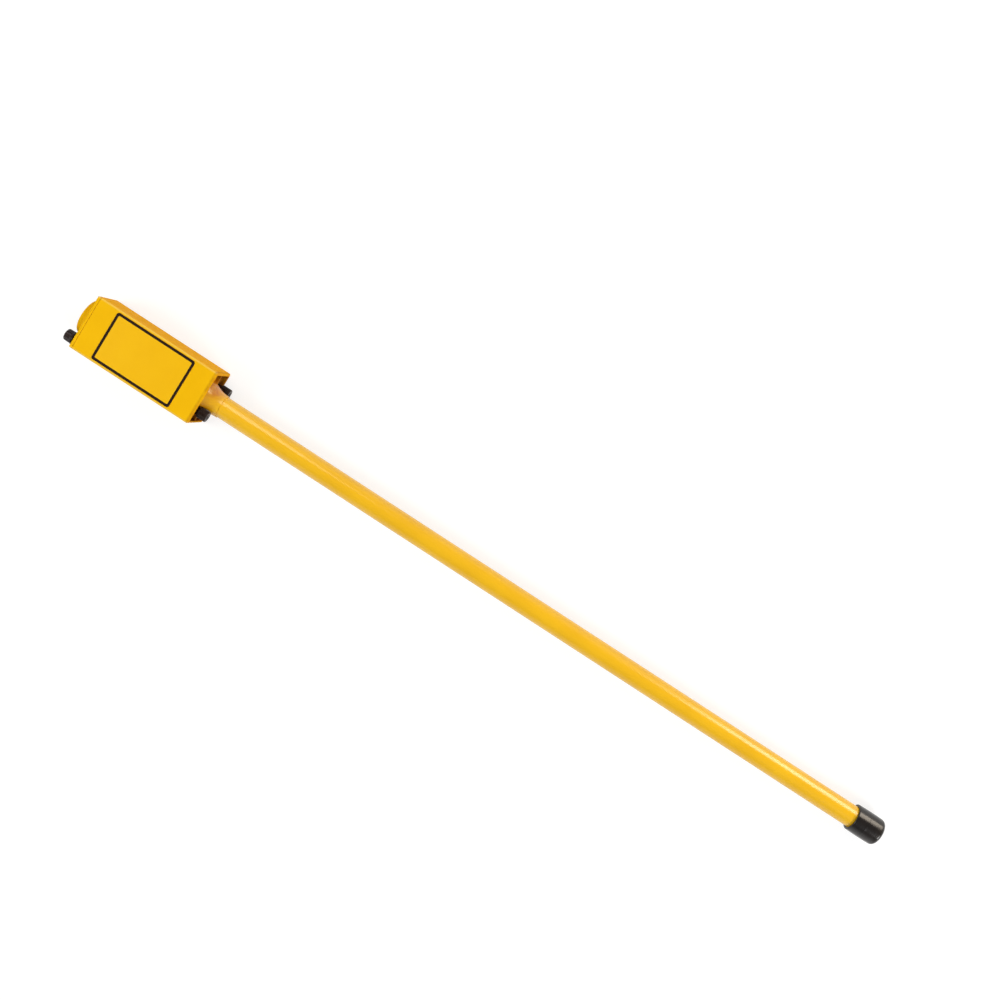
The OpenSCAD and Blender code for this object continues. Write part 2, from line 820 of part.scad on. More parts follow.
module board_standoffs() color(steel)
    for (corner = board_corners)
        translate([corner.x, corner.y, axis_z + tray_top]) difference() {
            cylinder(r = standoff_radius, h = standoff_height);
            translate([0, 0, -cut])
                cylinder(r = board_screw_radius + push_gap, h = standoff_height + 2 * cut);
        }

module board_screws() color(steel)
    for (corner = board_corners)
        upright_screw([corner.x, corner.y, board_top], board_screw_radius, board_screw_head,
            board_screw_head_height, board_thickness + standoff_height + tray_thickness);

// Row of integrated circuits along the board
module chips() color(black)
    for (i = [0 : len(chip_x_shares) - 1]) {
        x = board_start + chip_x_shares[i] * board_run;
        half = chip_length_shares[i] * board_run / 2;
        slab([x - half, chip_y - chip_width / 2, board_top],
            [x + half, chip_y + chip_width / 2, board_top + chip_height]);
    }

// Row of upright capacitors
module capacitors() color("#28456f")
    for (share = capacitor_shares)
        translate([board_start + share * board_run, capacitor_y_share * board_half_width,
                axis_z + board_top])
            cylinder(r = capacitor_radius, h = capacitor_height_share * board_room);

// Small audio transformer: a laminated frame round its winding
module transformer() color("#8c8f93") {
    x = board_start + transformer_share * board_run;
    y = transformer_y_share * board_half_width;
    half = [transformer_length / 2, transformer_width_share * board_half_width / 2];
    reach = half.x + transformer_core;
    top = board_top + transformer_height_share * board_room;
    slab([x - half.x, y - half.y, board_top], [x + half.x, y + half.y, top]);
    slab([x - reach, y - half.y / 2, board_top], [x + reach, y + half.y / 2, top - transformer_core]);
}

// Socket that the sensor cable plugs into
module board_header() color("#e8e4d8")
    slab([header_x - header_length / 2, cable_y - header_width / 2, board_top],
        [header_x + header_length / 2, cable_y + header_width / 2, header_top]);

// Places of the screws in the bracket's feet
function foot_screw_places() = [for (x = [leg_start + foot_screw_inset, leg_end - foot_screw_inset])
    for (side = [-1, 1]) [x, side * (bracket_leg - foot_width / 2)]];

// Folded bracket that carries the batteries over the board
module battery_bracket() color("#c3c7cb") difference() {
    union() {
        slab([bracket_start, -bracket_leg - bracket_sheet, battery_floor - bracket_sheet],
            [bracket_end, bracket_leg + bracket_sheet, battery_floor]);
        for (x = [bracket_start, bracket_end - bracket_sheet])
            slab([x, -bracket_leg, battery_floor - bracket_sheet],
                [x + bracket_sheet, bracket_leg, battery_floor + bracket_flange]);
        both_sides() {
            slab([leg_start, bracket_leg, tray_top], [leg_end, bracket_leg + bracket_sheet, battery_floor]);
            slab([leg_start, bracket_leg - foot_width, tray_top],
                [leg_end, bracket_leg + bracket_sheet, tray_top + bracket_sheet]);
        }
    }
    for (place = foot_screw_places())
        translate([place.x, place.y, axis_z + tray_top - cut])
            cylinder(r = board_screw_radius + push_gap, h = bracket_sheet + 2 * cut);
}

module bracket_screws() color(steel)
    for (place = foot_screw_places())
        upright_screw([place.x, place.y, tray_top + bracket_sheet], board_screw_radius,
            foot_width / 2 - push_gap, board_screw_head_height, bracket_sheet + tray_thickness);

// Nine-volt battery: a can with rounded long edges and two snap terminals
module battery(side) color("#55585c") {
    middle = [side * (battery_split + battery_width / 2), battery_floor + battery_thickness / 2];
    along(battery_body_x) translate(middle)
        linear_extrude(battery_length - terminal_height)
            round_rectangle([battery_width, battery_thickness], battery_round);
    rod(battery_x, battery_body_x + cut, terminal_small, middle - [terminal_spread, 0]);
    rod(battery_x, battery_body_x + cut, terminal_large, middle + [terminal_spread, 0]);
}

module battery_left() battery(-1);

module battery_right() battery(1);

// Insulated snap plates that meet the terminals
module battery_snaps() color("#6b2b24")
    for (side = [-1, 1]) {
        middle = [side * (battery_split + battery_width / 2), battery_floor + battery_thickness / 2];
        along(bracket_start + bracket_sheet) translate(middle)
            linear_extrude(snap_thickness)
                round_rectangle([battery_width - 2 * battery_round, 2 * snap_half_height], battery_round);
    }

// Open spring loops that push the batteries against the snaps
module battery_springs() color(steel)
    for (side = [-1, 1]) {
        middle = side * (battery_split + battery_width / 2);
        radius = spring_room / 2 - spring_gap;
        height = axis_z + battery_floor + radius + spring_gap;
        translate([battery_end + spring_room / 2, middle + spring_width / 2, height])
            rotate([90, 0, 0]) difference() {
                cylinder(r = radius, h = spring_width);
                translate([0, 0, -cut]) cylinder(r = radius - spring_wall, h = spring_width + 2 * cut);
                translate([-radius / 2, 0, -cut]) cube([radius, radius + cut, spring_width + 2 * cut]);
            }
    }

// Sprung strap that holds both batteries down
module battery_strap() color("#d2d5d8") {
    middle = (battery_body_x + battery_end) / 2;
    outside = bracket_leg + bracket_sheet + strap_thickness;
    top = battery_front + strap_gap + strap_thickness;
    low = middle - strap_width / 2;
    high = middle + strap_width / 2;
    slab([low, -outside, top - strap_thickness], [high, outside, top]);
    both_sides() slab([low, outside - strap_thickness, battery_floor - strap_width], [high, outside, top]);
}

module sensor_tube() color(yellow) difference() {
    rod(tube_start, tube_end, tube_radius);
    rod(tube_start - cut, tube_end + cut, bore_radius);
}

// Rubber cap pushed over the tube's end, with a round outer edge
module tip_cap() color(black) along(tip_start) rotate_extrude() difference() {
    union() {
        square([tip_radius, tip_length - tip_round]);
        square([tip_radius - tip_round, tip_length]);
        translate([tip_radius - tip_round, tip_length - tip_round]) circle(tip_round);
    }
    translate([0, -cut]) square([tube_radius + push_gap, tube_end - tip_start + cut + push_gap]);
}

// Cup-shaped plug that seals the tube under the cap
module tube_plug() color("#3a3a3c") difference() {
    rod(tube_end - plug_length, tube_end, bore_radius - push_gap);
    rod(tube_end - plug_length - cut, tube_end - plug_wall, bore_radius - plug_wall);
}

// Bar that keeps both sensors in line
module sensor_beam() color("#b98a4a")
    slab([beam_start, -beam_half_width, beam_bottom], [beam_end, beam_half_width, beam_top]);

// Rubber bushes that centre the beam in the tube and let the cable through
module beam_bushes() color("#2f2f31")
    for (i = [0 : bush_count - 1]) {
        x = bush_first + i * (bush_last - bush_first) / (bush_count - 1);
        difference() {
            rod(x, x + bush_length, bush_radius);
            slab([x - cut, -beam_half_width - push_gap, beam_bottom - push_gap],
                [x + bush_length + cut, beam_half_width + push_gap, beam_top + push_gap]);
            rod(x - cut, x + bush_length + cut, cable_radius + push_gap, [cable_y, cable_z]);
        }
    }

// Cable from the board's socket through the bulkhead to the lower sensor
module sensor_cable() color("#7a1f1c") {
    rod(header_x + cable_bend, cable_end, cable_radius, [cable_y, cable_z]);
    translate([header_x + cable_bend, cable_y, axis_z + header_top]) rotate([90, 0, 0]) rotate(90)
        rotate_extrude(angle = 90) translate([cable_bend, 0]) circle(cable_radius);
}

// Spool of a sensor
module bobbin(x) color("#d8d2c0") along(x - sensor_length / 2) translate([0, sensor_rise]) difference() {
    rotate_extrude() {
        square([sensor_radius, flange_thickness]);
        square([hub_of_bobbin, sensor_length]);
        translate([0, sensor_length - flange_thickness]) square([sensor_radius, flange_thickness]);
    }
    translate([0, 0, -cut]) cylinder(r = core_radius + push_gap, h = sensor_length + 2 * cut);
}

// Copper winding between a spool's flanges
module winding(x) color("#b5672e") {
    half = sensor_length / 2 - flange_thickness - push_gap;
    difference() {
        rod(x - half, x + half, sensor_radius - winding_inset, [0, sensor_rise]);
        rod(x - half - cut, x + half + cut, hub_of_bobbin + push_gap, [0, sensor_rise]);
    }
}

// Rod of soft magnetic alloy through a spool
module core(x) color(steel) {
    half = sensor_length / 2 + core_overhang;
    rod(x - half, x + half, core_radius, [0, sensor_rise]);
}

module upper_bobbin() bobbin(upper_sensor_x);

module upper_winding() winding(upper_sensor_x);

module upper_core() core(upper_sensor_x);

module lower_bobbin() bobbin(lower_sensor_x);

module lower_winding() winding(lower_sensor_x);

module lower_core() core(lower_sensor_x);

cover_sleeve();
lower_end();
label_plate();
tube_seal();
nut_washers();
thumb_nut_front();
thumb_nut_back();
top_cap();
cover_gasket();
speaker_guard();
speaker_screen();
speaker_basket();
speaker_cone();
speaker_magnet();
guard_screws();
volume_pot();
sensitivity_switch();
panel_nuts();
volume_knob();
volume_shaft();
sensitivity_knob();
sensitivity_shaft();
tube_bulkhead();
cover_studs();
set_screws();
chassis_tray();
tray_screws();
circuit_board();
board_standoffs();
board_screws();
chips();
capacitors();
transformer();
board_header();
battery_bracket();
bracket_screws();
battery_left();
battery_right();
battery_snaps();
battery_springs();
battery_strap();
sensor_tube();
tip_cap();
tube_plug();
sensor_beam();
beam_bushes();
sensor_cable();
upper_bobbin();
upper_winding();
upper_core();
lower_bobbin();
lower_winding();
lower_core();
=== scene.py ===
"""Finish and stage of a magnetic locator: enamelled housing and tube, rubber tip, controls and works."""
import math

import bmesh
import bpy
import numpy as np
from bpy.props import FloatProperty, FloatVectorProperty, IntProperty, PointerProperty
from mathutils import Matrix, Vector


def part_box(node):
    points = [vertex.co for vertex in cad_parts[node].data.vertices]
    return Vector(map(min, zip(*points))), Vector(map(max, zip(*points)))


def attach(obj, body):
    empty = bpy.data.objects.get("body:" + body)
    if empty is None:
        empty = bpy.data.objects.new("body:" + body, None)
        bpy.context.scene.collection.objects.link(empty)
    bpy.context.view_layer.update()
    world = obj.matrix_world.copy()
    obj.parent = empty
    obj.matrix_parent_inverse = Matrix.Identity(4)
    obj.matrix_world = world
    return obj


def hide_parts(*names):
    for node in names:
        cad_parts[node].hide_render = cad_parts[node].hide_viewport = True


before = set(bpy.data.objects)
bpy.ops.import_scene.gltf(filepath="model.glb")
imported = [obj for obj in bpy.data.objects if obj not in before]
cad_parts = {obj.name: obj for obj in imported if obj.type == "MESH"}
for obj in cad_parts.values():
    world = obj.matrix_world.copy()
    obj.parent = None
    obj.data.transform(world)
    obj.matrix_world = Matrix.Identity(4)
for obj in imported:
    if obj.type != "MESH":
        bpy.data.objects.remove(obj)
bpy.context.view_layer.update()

bl_info = {
    "name": "Magnetic locator finish",
    "version": (1, 0, 0),
    "blender": (4, 5, 0),
    "location": "3D View > Sidebar > Locator",
    "description": "Dresses the packed locator in enamel, film, rubber, plastic and metal and sets its stage",
    "category": "Mesh",
}

MM = 0.001
WHITE = (1, 1, 1, 1)
# Sockets of a colour Mix node by number, because other sockets of it have the same names
SHARE, UNDER, OVER, MIXED = 0, 6, 7, 2
# Where most of a noise texture's values lie
NOISE_SPAN = {"From Min": 0.3, "From Max": 0.7}
# Edges that turn by more than this stay sharp
CREASE = math.radians(32)
# Each dial's marks, in degrees from +Y towards +Z; at rest the pointer stands at the first
DIALS = {"volume": (-15, -75), "sensitivity": (0, 30, 60)}


# Colours and nodes

def linear(code):
    """An sRGB hex colour as linear RGBA: c / 12.92 up to 0.04045, above it ((c + 0.055) / 1.055) ^ 2.4."""
    parts = np.array([int(code[i:i + 2], 16) for i in (1, 3, 5)]) / 255
    light = np.where(parts <= 0.04045, parts / 12.92, ((parts + 0.055) / 1.055) ** 2.4)
    return (*light.tolist(), 1.0)


def tint(tone):
    """A colour as linear RGBA, from an sRGB hex value or the name of one of the panel's colours."""
    return linear(tone) if tone.startswith("#") else getattr(bpy.context.scene.locator_colours, tone)


def node(tree, kind, inputs=None, **settings):
    """Adds one shader node with its settings; inputs fill its sockets, or link them to a given socket."""
    made = tree.nodes.new("ShaderNode" + kind)
    for field, value in settings.items():
        setattr(made, field, value)
    for socket, value in (inputs or {}).items():
        if isinstance(value, bpy.types.NodeSocket):
            tree.links.new(value, made.inputs[socket])
        else:
            made.inputs[socket].default_value = value
    return made


def finish(
        name, tones, cloud, rough, grain, relief,
        stretch=(1, 1, 1), paint=None, polish=None, emboss=None, **sockets):
    """A material of two close tones in soft clouds, with a finer grain in its gloss and its relief.

    cloud, grain and relief are real sizes in mm: the width of a cloud, the width of a grain and the
    grain's height. rough holds the lowest and highest roughness. stretch draws the pattern out along
    an axis by its number. paint and emboss may change the colour and the height before they are used,
    and polish gives the share of the surface that has a gloss coat.
    """
    shade, light = [tint(tone) for tone in tones]
    material = bpy.data.materials.new(name)
    material.use_nodes = True
    tree = material.node_tree
    tree.nodes.clear()
    place = node(tree, "TexCoord").outputs["Object"]
    drawn = node(tree, "Mapping", {"Vector": place, "Scale": [1 / s for s in stretch]}).outputs[0]
    clouds = node(tree, "TexNoise", {"Vector": drawn, "Scale": 1 / (cloud * MM), "Detail": 3.0})
    share = node(tree, "MapRange", {"Value": clouds.outputs[0], **NOISE_SPAN}).outputs[0]
    blend = {SHARE: share, UNDER: shade, OVER: light}
    colour = node(tree, "Mix", blend, data_type="RGBA").outputs[MIXED]
    grains = node(tree, "TexNoise", {"Vector": drawn, "Scale": 1 / (grain * MM), "Detail": 2.0})
    height = grains.outputs[0]
    spread = {"Value": height, **NOISE_SPAN, "To Min": rough[0], "To Max": rough[1]}
    gloss = node(tree, "MapRange", spread).outputs[0]
    if paint:
        colour = paint(tree, place, colour)
    if emboss:
        height = emboss(tree, place, height)
    bump = node(tree, "Bump", {"Height": height, "Distance": relief * MM, "Strength": 1.0})
    given = {key.replace("_", " "): value for key, value in sockets.items()}
    given.update({"Base Color": colour, "Roughness": gloss, "Normal": bump.outputs[0]})
    if polish:
        given.update({"Coat Weight": polish(tree, place), "Coat Normal": bump.outputs[0]})
    shader = node(tree, "BsdfPrincipled", given)
    node(tree, "OutputMaterial", {"Surface": shader.outputs[0]})
    return material


def within(tree, value, low, high, soft):
    """A socket that is 1 where value lies between low and high, in metres, and fades to 0 over soft."""
    rise = {"Value": value, "From Min": low - soft, "From Max": low}
    fall = {"Value": value, "From Min": high, "From Max": high + soft, "To Min": 1.0, "To Max": 0.0}
    up = node(tree, "MapRange", rise, interpolation_type="SMOOTHSTEP").outputs[0]
    down = node(tree, "MapRange", fall, interpolation_type="SMOOTHSTEP").outputs[0]
    return node(tree, "Math", {0: up, 1: down}, operation="MULTIPLY").outputs[0]


def bands(tree, place, axis, pitch):
    """A socket that swings from 0 to 1 and back along an axis, once each pitch mm.

    A wave texture turns by 20 times its scale in each metre, and a whole turn is 2 pi.
    """
    spacing = {"Vector": place, "Scale": 2 * math.pi / (20 * pitch * MM)}
    return node(tree, "TexWave", spacing, bands_direction=axis).outputs[1]


def stripes(axis, pitch, tone, depth):
    """A paint function: bands along an axis, one each pitch mm, that take tone at a strength of depth."""
    def paint(tree, place, colour):
        wave = bands(tree, place, axis, pitch)
        share = node(tree, "Math", {0: wave, 1: depth}, operation="MULTIPLY").outputs[0]
        blend = {SHARE: share, UNDER: colour, OVER: tint(tone)}
        return node(tree, "Mix", blend, data_type="RGBA").outputs[MIXED]
    return paint


def ridges(axis, pitch):
    """An emboss function: round ridges across an axis, one each pitch mm, with about a third of the grain."""
    grain_share = 0.35

    def emboss(tree, place, height):
        both = {0: height, 1: grain_share, 2: bands(tree, place, axis, pitch)}
        return node(tree, "Math", both, operation="MULTIPLY_ADD").outputs[0]
    return emboss


def dress(material, *names):
    """Puts a material on the CAD nodes of these names."""
    for name in names:
        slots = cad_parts[name].material_slots
        if not slots:
            raise RuntimeError(f"{name} has no material slot to dress")
        for slot in slots:
            slot.material = material


# Surfaces

def arc(x, r, radius, start, end, steps):
    """Profile points on a circle: x + radius cos a, r + radius sin a, with a from start to end degrees."""
    angle = np.radians(np.linspace(start, end, steps))
    return np.stack([x + radius * np.cos(angle), r + radius * np.sin(angle)], -1)


def profile(*runs, step):
    """Joins points and arcs of (x, r) in mm into one profile in metres, with no gap wider than step mm."""
    corners = np.concatenate([np.atleast_2d(run) for run in runs]) * MM
    spans = np.hypot(*np.diff(corners, axis=0).T)
    parts = np.maximum(1, np.ceil(spans / (step * MM))).astype(int)
    between = [np.linspace(i, i + 1, n, endpoint=False) for i, n in enumerate(parts)]
    spot = np.concatenate([*between, [len(parts)]])
    return np.stack([np.interp(spot, np.arange(len(corners)), corners[:, i]) for i in (0, 1)], -1)


def turned(line, centre, columns=128, ripple=None):
    """Turns a profile of (x, r) about the line along X through centre: y = cy + r cos t, z = cz + r sin t.

    Where ripple is given, r first loses ripple(x, r, t).
    """
    turn = np.linspace(0, 2 * np.pi, columns, endpoint=False)[None, :]
    x, r, turn = np.broadcast_arrays(line[:, :1], line[:, 1:], turn)
    if ripple is not None:
        r = r - ripple(x, r, turn)
    return np.stack([x, centre[0] + r * np.cos(turn), centre[1] + r * np.sin(turn)], -1)


def grooves(count, depth, start, stop, fade, least, power, first=0.0):
    """A ripple of count grooves round a turned piece: depth (1/2 - cos(count (t - first)) / 2) ^ power.

    It fades in past start and out before stop, over fade each, where r is more than least.
    """
    def ripple(x, r, turn):
        window = np.clip((x - start) / fade, 0, 1) * np.clip((stop - x) / fade, 0, 1) * (r > least)
        return depth * window * (0.5 - 0.5 * np.cos(count * (turn - first))) ** power
    return ripple


def rounded(width, length, radius, steps=8):
    """Outline of a rectangle with round corners: each corner is a quarter circle about its own centre."""
    turn = np.radians(np.linspace(0, 90, steps) + 90 * np.arange(4)[:, None])
    middle = np.radians(45 + 90 * np.arange(4))[:, None]
    u = np.sign(np.cos(middle)) * (width / 2 - radius) + radius * np.cos(turn)
    v = np.sign(np.sin(middle)) * (length / 2 - radius) + radius * np.sin(turn)
    return np.stack([u, v], -1).reshape(-1, 2)


def flat_shape(rows, place, across, along):
    """Carries outlines of (u, v) through rows of (outline, height): place + u across + v along + w normal."""
    across, along = np.array(across, float), np.array(along, float)
    normal = np.cross(across, along)
    stack = [line @ np.stack([across, along]) + height * normal for line, height in rows]
    return np.array(place) + np.stack(stack)


def tablet(width, length, radius, thick, ease, place, across, along):
    """A thin plate with round corners: from its underside's middle out, up, in by ease, to the middle."""
    outer = rounded(width, length, radius)
    inner = rounded(width - 2 * ease, length - 2 * ease, max(radius - ease, ease / 10))
    rows = [(0 * outer, 0), (outer, 0), (outer, thick - ease), (inner, thick), (0 * outer, thick)]
    return flat_shape(rows, place, across, along)


def pointer_strip(path, width, sunk, proud, angle, centre):
    """A strip laid along a profile path at one angle of a knob, sunk into it and standing proud of it.

    The path's normal is its slope turned by a quarter: point = path + normal h, moved sideways by s.
    """
    slope = np.gradient(path, axis=0)
    slope /= np.linalg.norm(slope, axis=1, keepdims=True)
    normal = np.stack([-slope[:, 1], slope[:, 0]], -1)
    side = np.array([-0.5, 0.5, 0.5, 0.35, -0.35, -0.5]) * width
    rise = np.array([-sunk, -sunk, 0.4 * proud, proud, proud, 0.4 * proud])
    spot = path[:, None, :] + normal[:, None, :] * rise[None, :, None]
    first, last = [end.mean(1, keepdims=True).repeat(len(side), 1) for end in (spot[:1], spot[-1:])]
    x, r = np.moveaxis(np.concatenate([first, spot, last]), -1, 0)
    closed = np.zeros((1, len(side)))
    sideways = np.concatenate([closed, np.tile(side, (len(path), 1)), closed])
    y = centre[0] + r * math.cos(angle) - sideways * math.sin(angle)
    z = centre[1] + r * math.sin(angle) + sideways * math.cos(angle)
    return np.stack([x, y, z], -1)


def piece(name, grids, material, body, loop=False):
    """Makes one piece of grids whose columns close round, and whose rows close too where loop is set.

    Face corners are (row, column), (row, column + 1), (row + 1, column + 1), (row + 1, column).
    """
    points, faces, first = [], [], 0
    for grid in grids:
        rows, columns = grid.shape[:2]
        down, beside = np.mgrid[0:rows if loop else rows - 1, 0:columns]
        below, next_one = (down + 1) % rows, (beside + 1) % columns
        ring = [(down, beside), (down, next_one), (below, next_one), (below, beside)]
        faces.append(first + np.stack([r * columns + c for r, c in ring], -1).reshape(-1, 4))
        points.append(grid.reshape(-1, 3))
        first += rows * columns
    mesh = bpy.data.meshes.new(name)
    mesh.from_pydata(np.concatenate(points).tolist(), [], np.concatenate(faces).tolist())
    shape = bmesh.new()
    shape.from_mesh(mesh)
    bmesh.ops.remove_doubles(shape, verts=shape.verts, dist=1e-7)
    bmesh.ops.recalc_face_normals(shape, faces=shape.faces)
    if not all(edge.is_manifold for edge in shape.edges):
        raise RuntimeError(f"{name} is not a closed surface")
    shape.to_mesh(mesh)
    shape.free()
    mesh.shade_smooth()
    mesh.set_sharp_from_angle(angle=CREASE)
    mesh.materials.append(material)
    made = bpy.data.objects.new(name, mesh)
    bpy.context.scene.collection.objects.link(made)
    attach(made, body)
    return made


# What a user may change

def a_colour(name, description, code):
    """A colour property, its default written as an sRGB hex value."""
    return FloatVectorProperty(
        name=name, description=description, default=linear(code), size=4, subtype="COLOR", min=0, max=1)


def a_length(name, description, millimetres):
    """A length property in metres, its default written in mm."""
    return FloatProperty(
        name=name, description=description, default=millimetres * MM, unit="LENGTH", min=0, precision=5)


def a_place(name, description, metres):
    """A property for a place in the frame, in metres."""
    return FloatVectorProperty(
        name=name, description=description, default=metres, subtype="TRANSLATION", unit="LENGTH", precision=4)


def a_power(name, description, watts):
    """A lamp's power property, in watts."""
    return FloatProperty(name=name, description=description, default=watts, min=0, unit="POWER")


class LocatorColours(bpy.types.PropertyGroup):
    """Colours of the finishes that show."""

    enamel_shade: a_colour("Enamel, shade", "Darker tone of the housing's and tube's enamel", "#f2ba04")
    enamel_light: a_colour("Enamel, light", "Lighter tone of the housing's and tube's enamel", "#f8c108")
    # Painted shade: a deeper tone painted on the housing's sides
    enamel_side_shade: a_colour("Enamel, sides", "Deeper tone of the housing's sides, which fade less", "#f6b206")
    # Painted highlight: a pale tone painted along the housing's long edges
    edge: a_colour("Enamel, edges", "Pale tone where the coat is thin along the housing's edges", "#ffe27c")
    # Partly stain, partly painted shade: orange brown on the cast end's recess, rim and collar flanks
    stain_and_shade: a_colour("Stain", "Orange brown that oil leaves on the cast end's recess and collar", "#bb5a0e")
    # Painted shade: dark brown painted into the corners of the cast end's recess
    recess_shade: a_colour("Grime", "Dark dust settled in the corners of that recess", "#4a2808")
    film: a_colour("Label film", "Yellow of the label film", "#f3bb06")
    ink: a_colour("Ink", "Brown black of the label's border and the dial marks", "#1c0f04")
    rubber: a_colour("Rubber", "Black of the tip cap", "#120e0c")
    phenolic: a_colour("Phenolic", "Black of the knobs and thumb nuts", "#1a0f0b")
    pointer: a_colour("Pointer", "White fill of the knobs' pointer lines", "#e6e2d6")
    plating: a_colour("Zinc plating", "Pale grey of the screws, studs and shafts", "#b9bbbd")
    sheet: a_colour("Sheet aluminium", "Grey of the tray and the battery bracket", "#c3c5c6")
    mask: a_colour("Solder mask", "Green of the circuit board", "#1f5a2f")


class LocatorSizes(bpy.types.PropertyGroup):
    """Sizes of the pieces that are made here."""

    border_width: a_length("Border width", "Width of the printed border at the label's edge", 3.1)
    border_corner: a_length("Border corner", "Corner radius of the border's outer edge", 3.0)
    border_inner: a_length("Border inner corner", "Corner radius of the border's inner edge", 1.3)
    ink_height: a_length("Ink height", "How far the printed ink stands on its ground", 0.02)
    knurls: IntProperty(name="Knurls", description="Ridges round a thumb nut", default=40, min=12, max=80)
    knurl_depth: a_length("Knurl depth", "Depth between two ridges of a thumb nut", 0.4)
    flutes: IntProperty(name="Flutes", description="Hollows round a control knob", default=18, min=6, max=40)
    flute_depth: a_length("Flute depth", "Depth of a hollow in a control knob", 0.45)
    pointer_width: a_length("Pointer width", "Width of a knob's pointer line", 0.9)
    orange_peel: a_length("Orange peel", "Width of a swell in the sprayed enamel", 1.8)


class LocatorStage(bpy.types.PropertyGroup):
    """Camera, lamps and floor."""

    place: a_place("Camera place", "Where the camera stands", (0.4061, 0.2065, 1.2625))
    aim: a_place("Camera aim", "What the camera looks at", (0.4118, 0.0826, 0.0254))
    roll: FloatProperty(
        name="Camera roll", description="Turn of the camera about its view", default=math.radians(33.08),
        subtype="ANGLE")
    lens: FloatProperty(
        name="Lens", description="Focal length in mm on a 36 mm sensor", default=40.25, min=10, max=200)
    key_power: a_power("Key power", "Power of the large lamp beyond the housing", 31)
    fill_power: a_power("Fill power", "Power of the large lamp beyond the tip", 57)
    strip_power: a_power("Strip power", "Power of the strip lamps that draw the tube's highlight", 19)
    sky_low: FloatProperty(
        name="Horizon light", description="Strength of the surrounding light near the floor",
        default=0.45, min=0)
    sky_high: FloatProperty(
        name="Overhead light", description="Strength of the surrounding light overhead", default=0.25, min=0)
    strip_tone: a_colour("Strip tone", "Warm white of the strip lamps", "#fff0dc")
    floor: a_colour("Floor", "Pale floor under the locator", "#cfcfcf")
    floor_white: FloatProperty(
        name="Floor white", description="Light that the floor adds where it is seen", default=0.75,
        min=0, max=1)


# Finishes

def enamel(name, rough, shine, paint=None, polish=None):
    """Sprayed enamel on aluminium: an even deep yellow over a faint orange peel.

    rough and shine set the coat between the housing's satin and the tube's gloss.
    """
    swell = bpy.context.scene.locator_sizes.orange_peel / MM
    return finish(
        name, ("enamel_shade", "enamel_light"), cloud=45, rough=rough, grain=swell, relief=0.012,
        paint=paint, polish=polish, IOR=1.5, Specular_IOR_Level=shine, Coat_Roughness=0.22, Coat_IOR=1.6)


def painted_edge_highlight_and_side_shade(tree, place, colour):
    """Paints shade on the housing's sides as a deeper tone, and a highlight along its long edges as a paler
    one.

    The edges' share is the product of how far a point lies into the edge's round across and in depth.
    """
    low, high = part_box("cover_sleeve")
    side, side_fade, edge, highlight_share = 1 * MM, 0.8 * MM, 3 * MM, 0.7
    parts = node(tree, "SeparateXYZ", {0: place}).outputs
    front = within(tree, parts[1], low.y + side, high.y - side, side_fade)
    # Painted shade: the sides take the deeper tone
    blend = {SHARE: front, UNDER: tint("enamel_side_shade"), OVER: colour}
    colour = node(tree, "Mix", blend, data_type="RGBA").outputs[MIXED]
    # Painted highlight: the pale tone along the rounds of the long edges
    rounds = []
    for axis in (1, 2):
        inner = within(tree, parts[axis], low[axis] + edge, high[axis] - edge, edge)
        rounds.append(node(tree, "Math", {0: 1.0, 1: inner}, operation="SUBTRACT").outputs[0])
    both = node(tree, "Math", {0: rounds[0], 1: rounds[1]}, operation="MULTIPLY").outputs[0]
    share = node(tree, "Math", {0: both, 1: highlight_share}, operation="MULTIPLY").outputs[0]
    blend = {SHARE: share, UNDER: colour, OVER: tint("edge")}
    return node(tree, "Mix", blend, data_type="RGBA").outputs[MIXED]


def from_axis(tree, place):
    """A socket with the distance from the tube's axis, which lies at half the cast end's height."""
    low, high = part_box("lower_end")
    centred = {"Vector": place, "Location": (0, 0, -(low.z + high.z) / 2), "Scale": (0, 1, 1)}
    flat = node(tree, "Mapping", centred).outputs[0]
    return node(tree, "VectorMath", {0: flat}, operation="LENGTH").outputs[1]


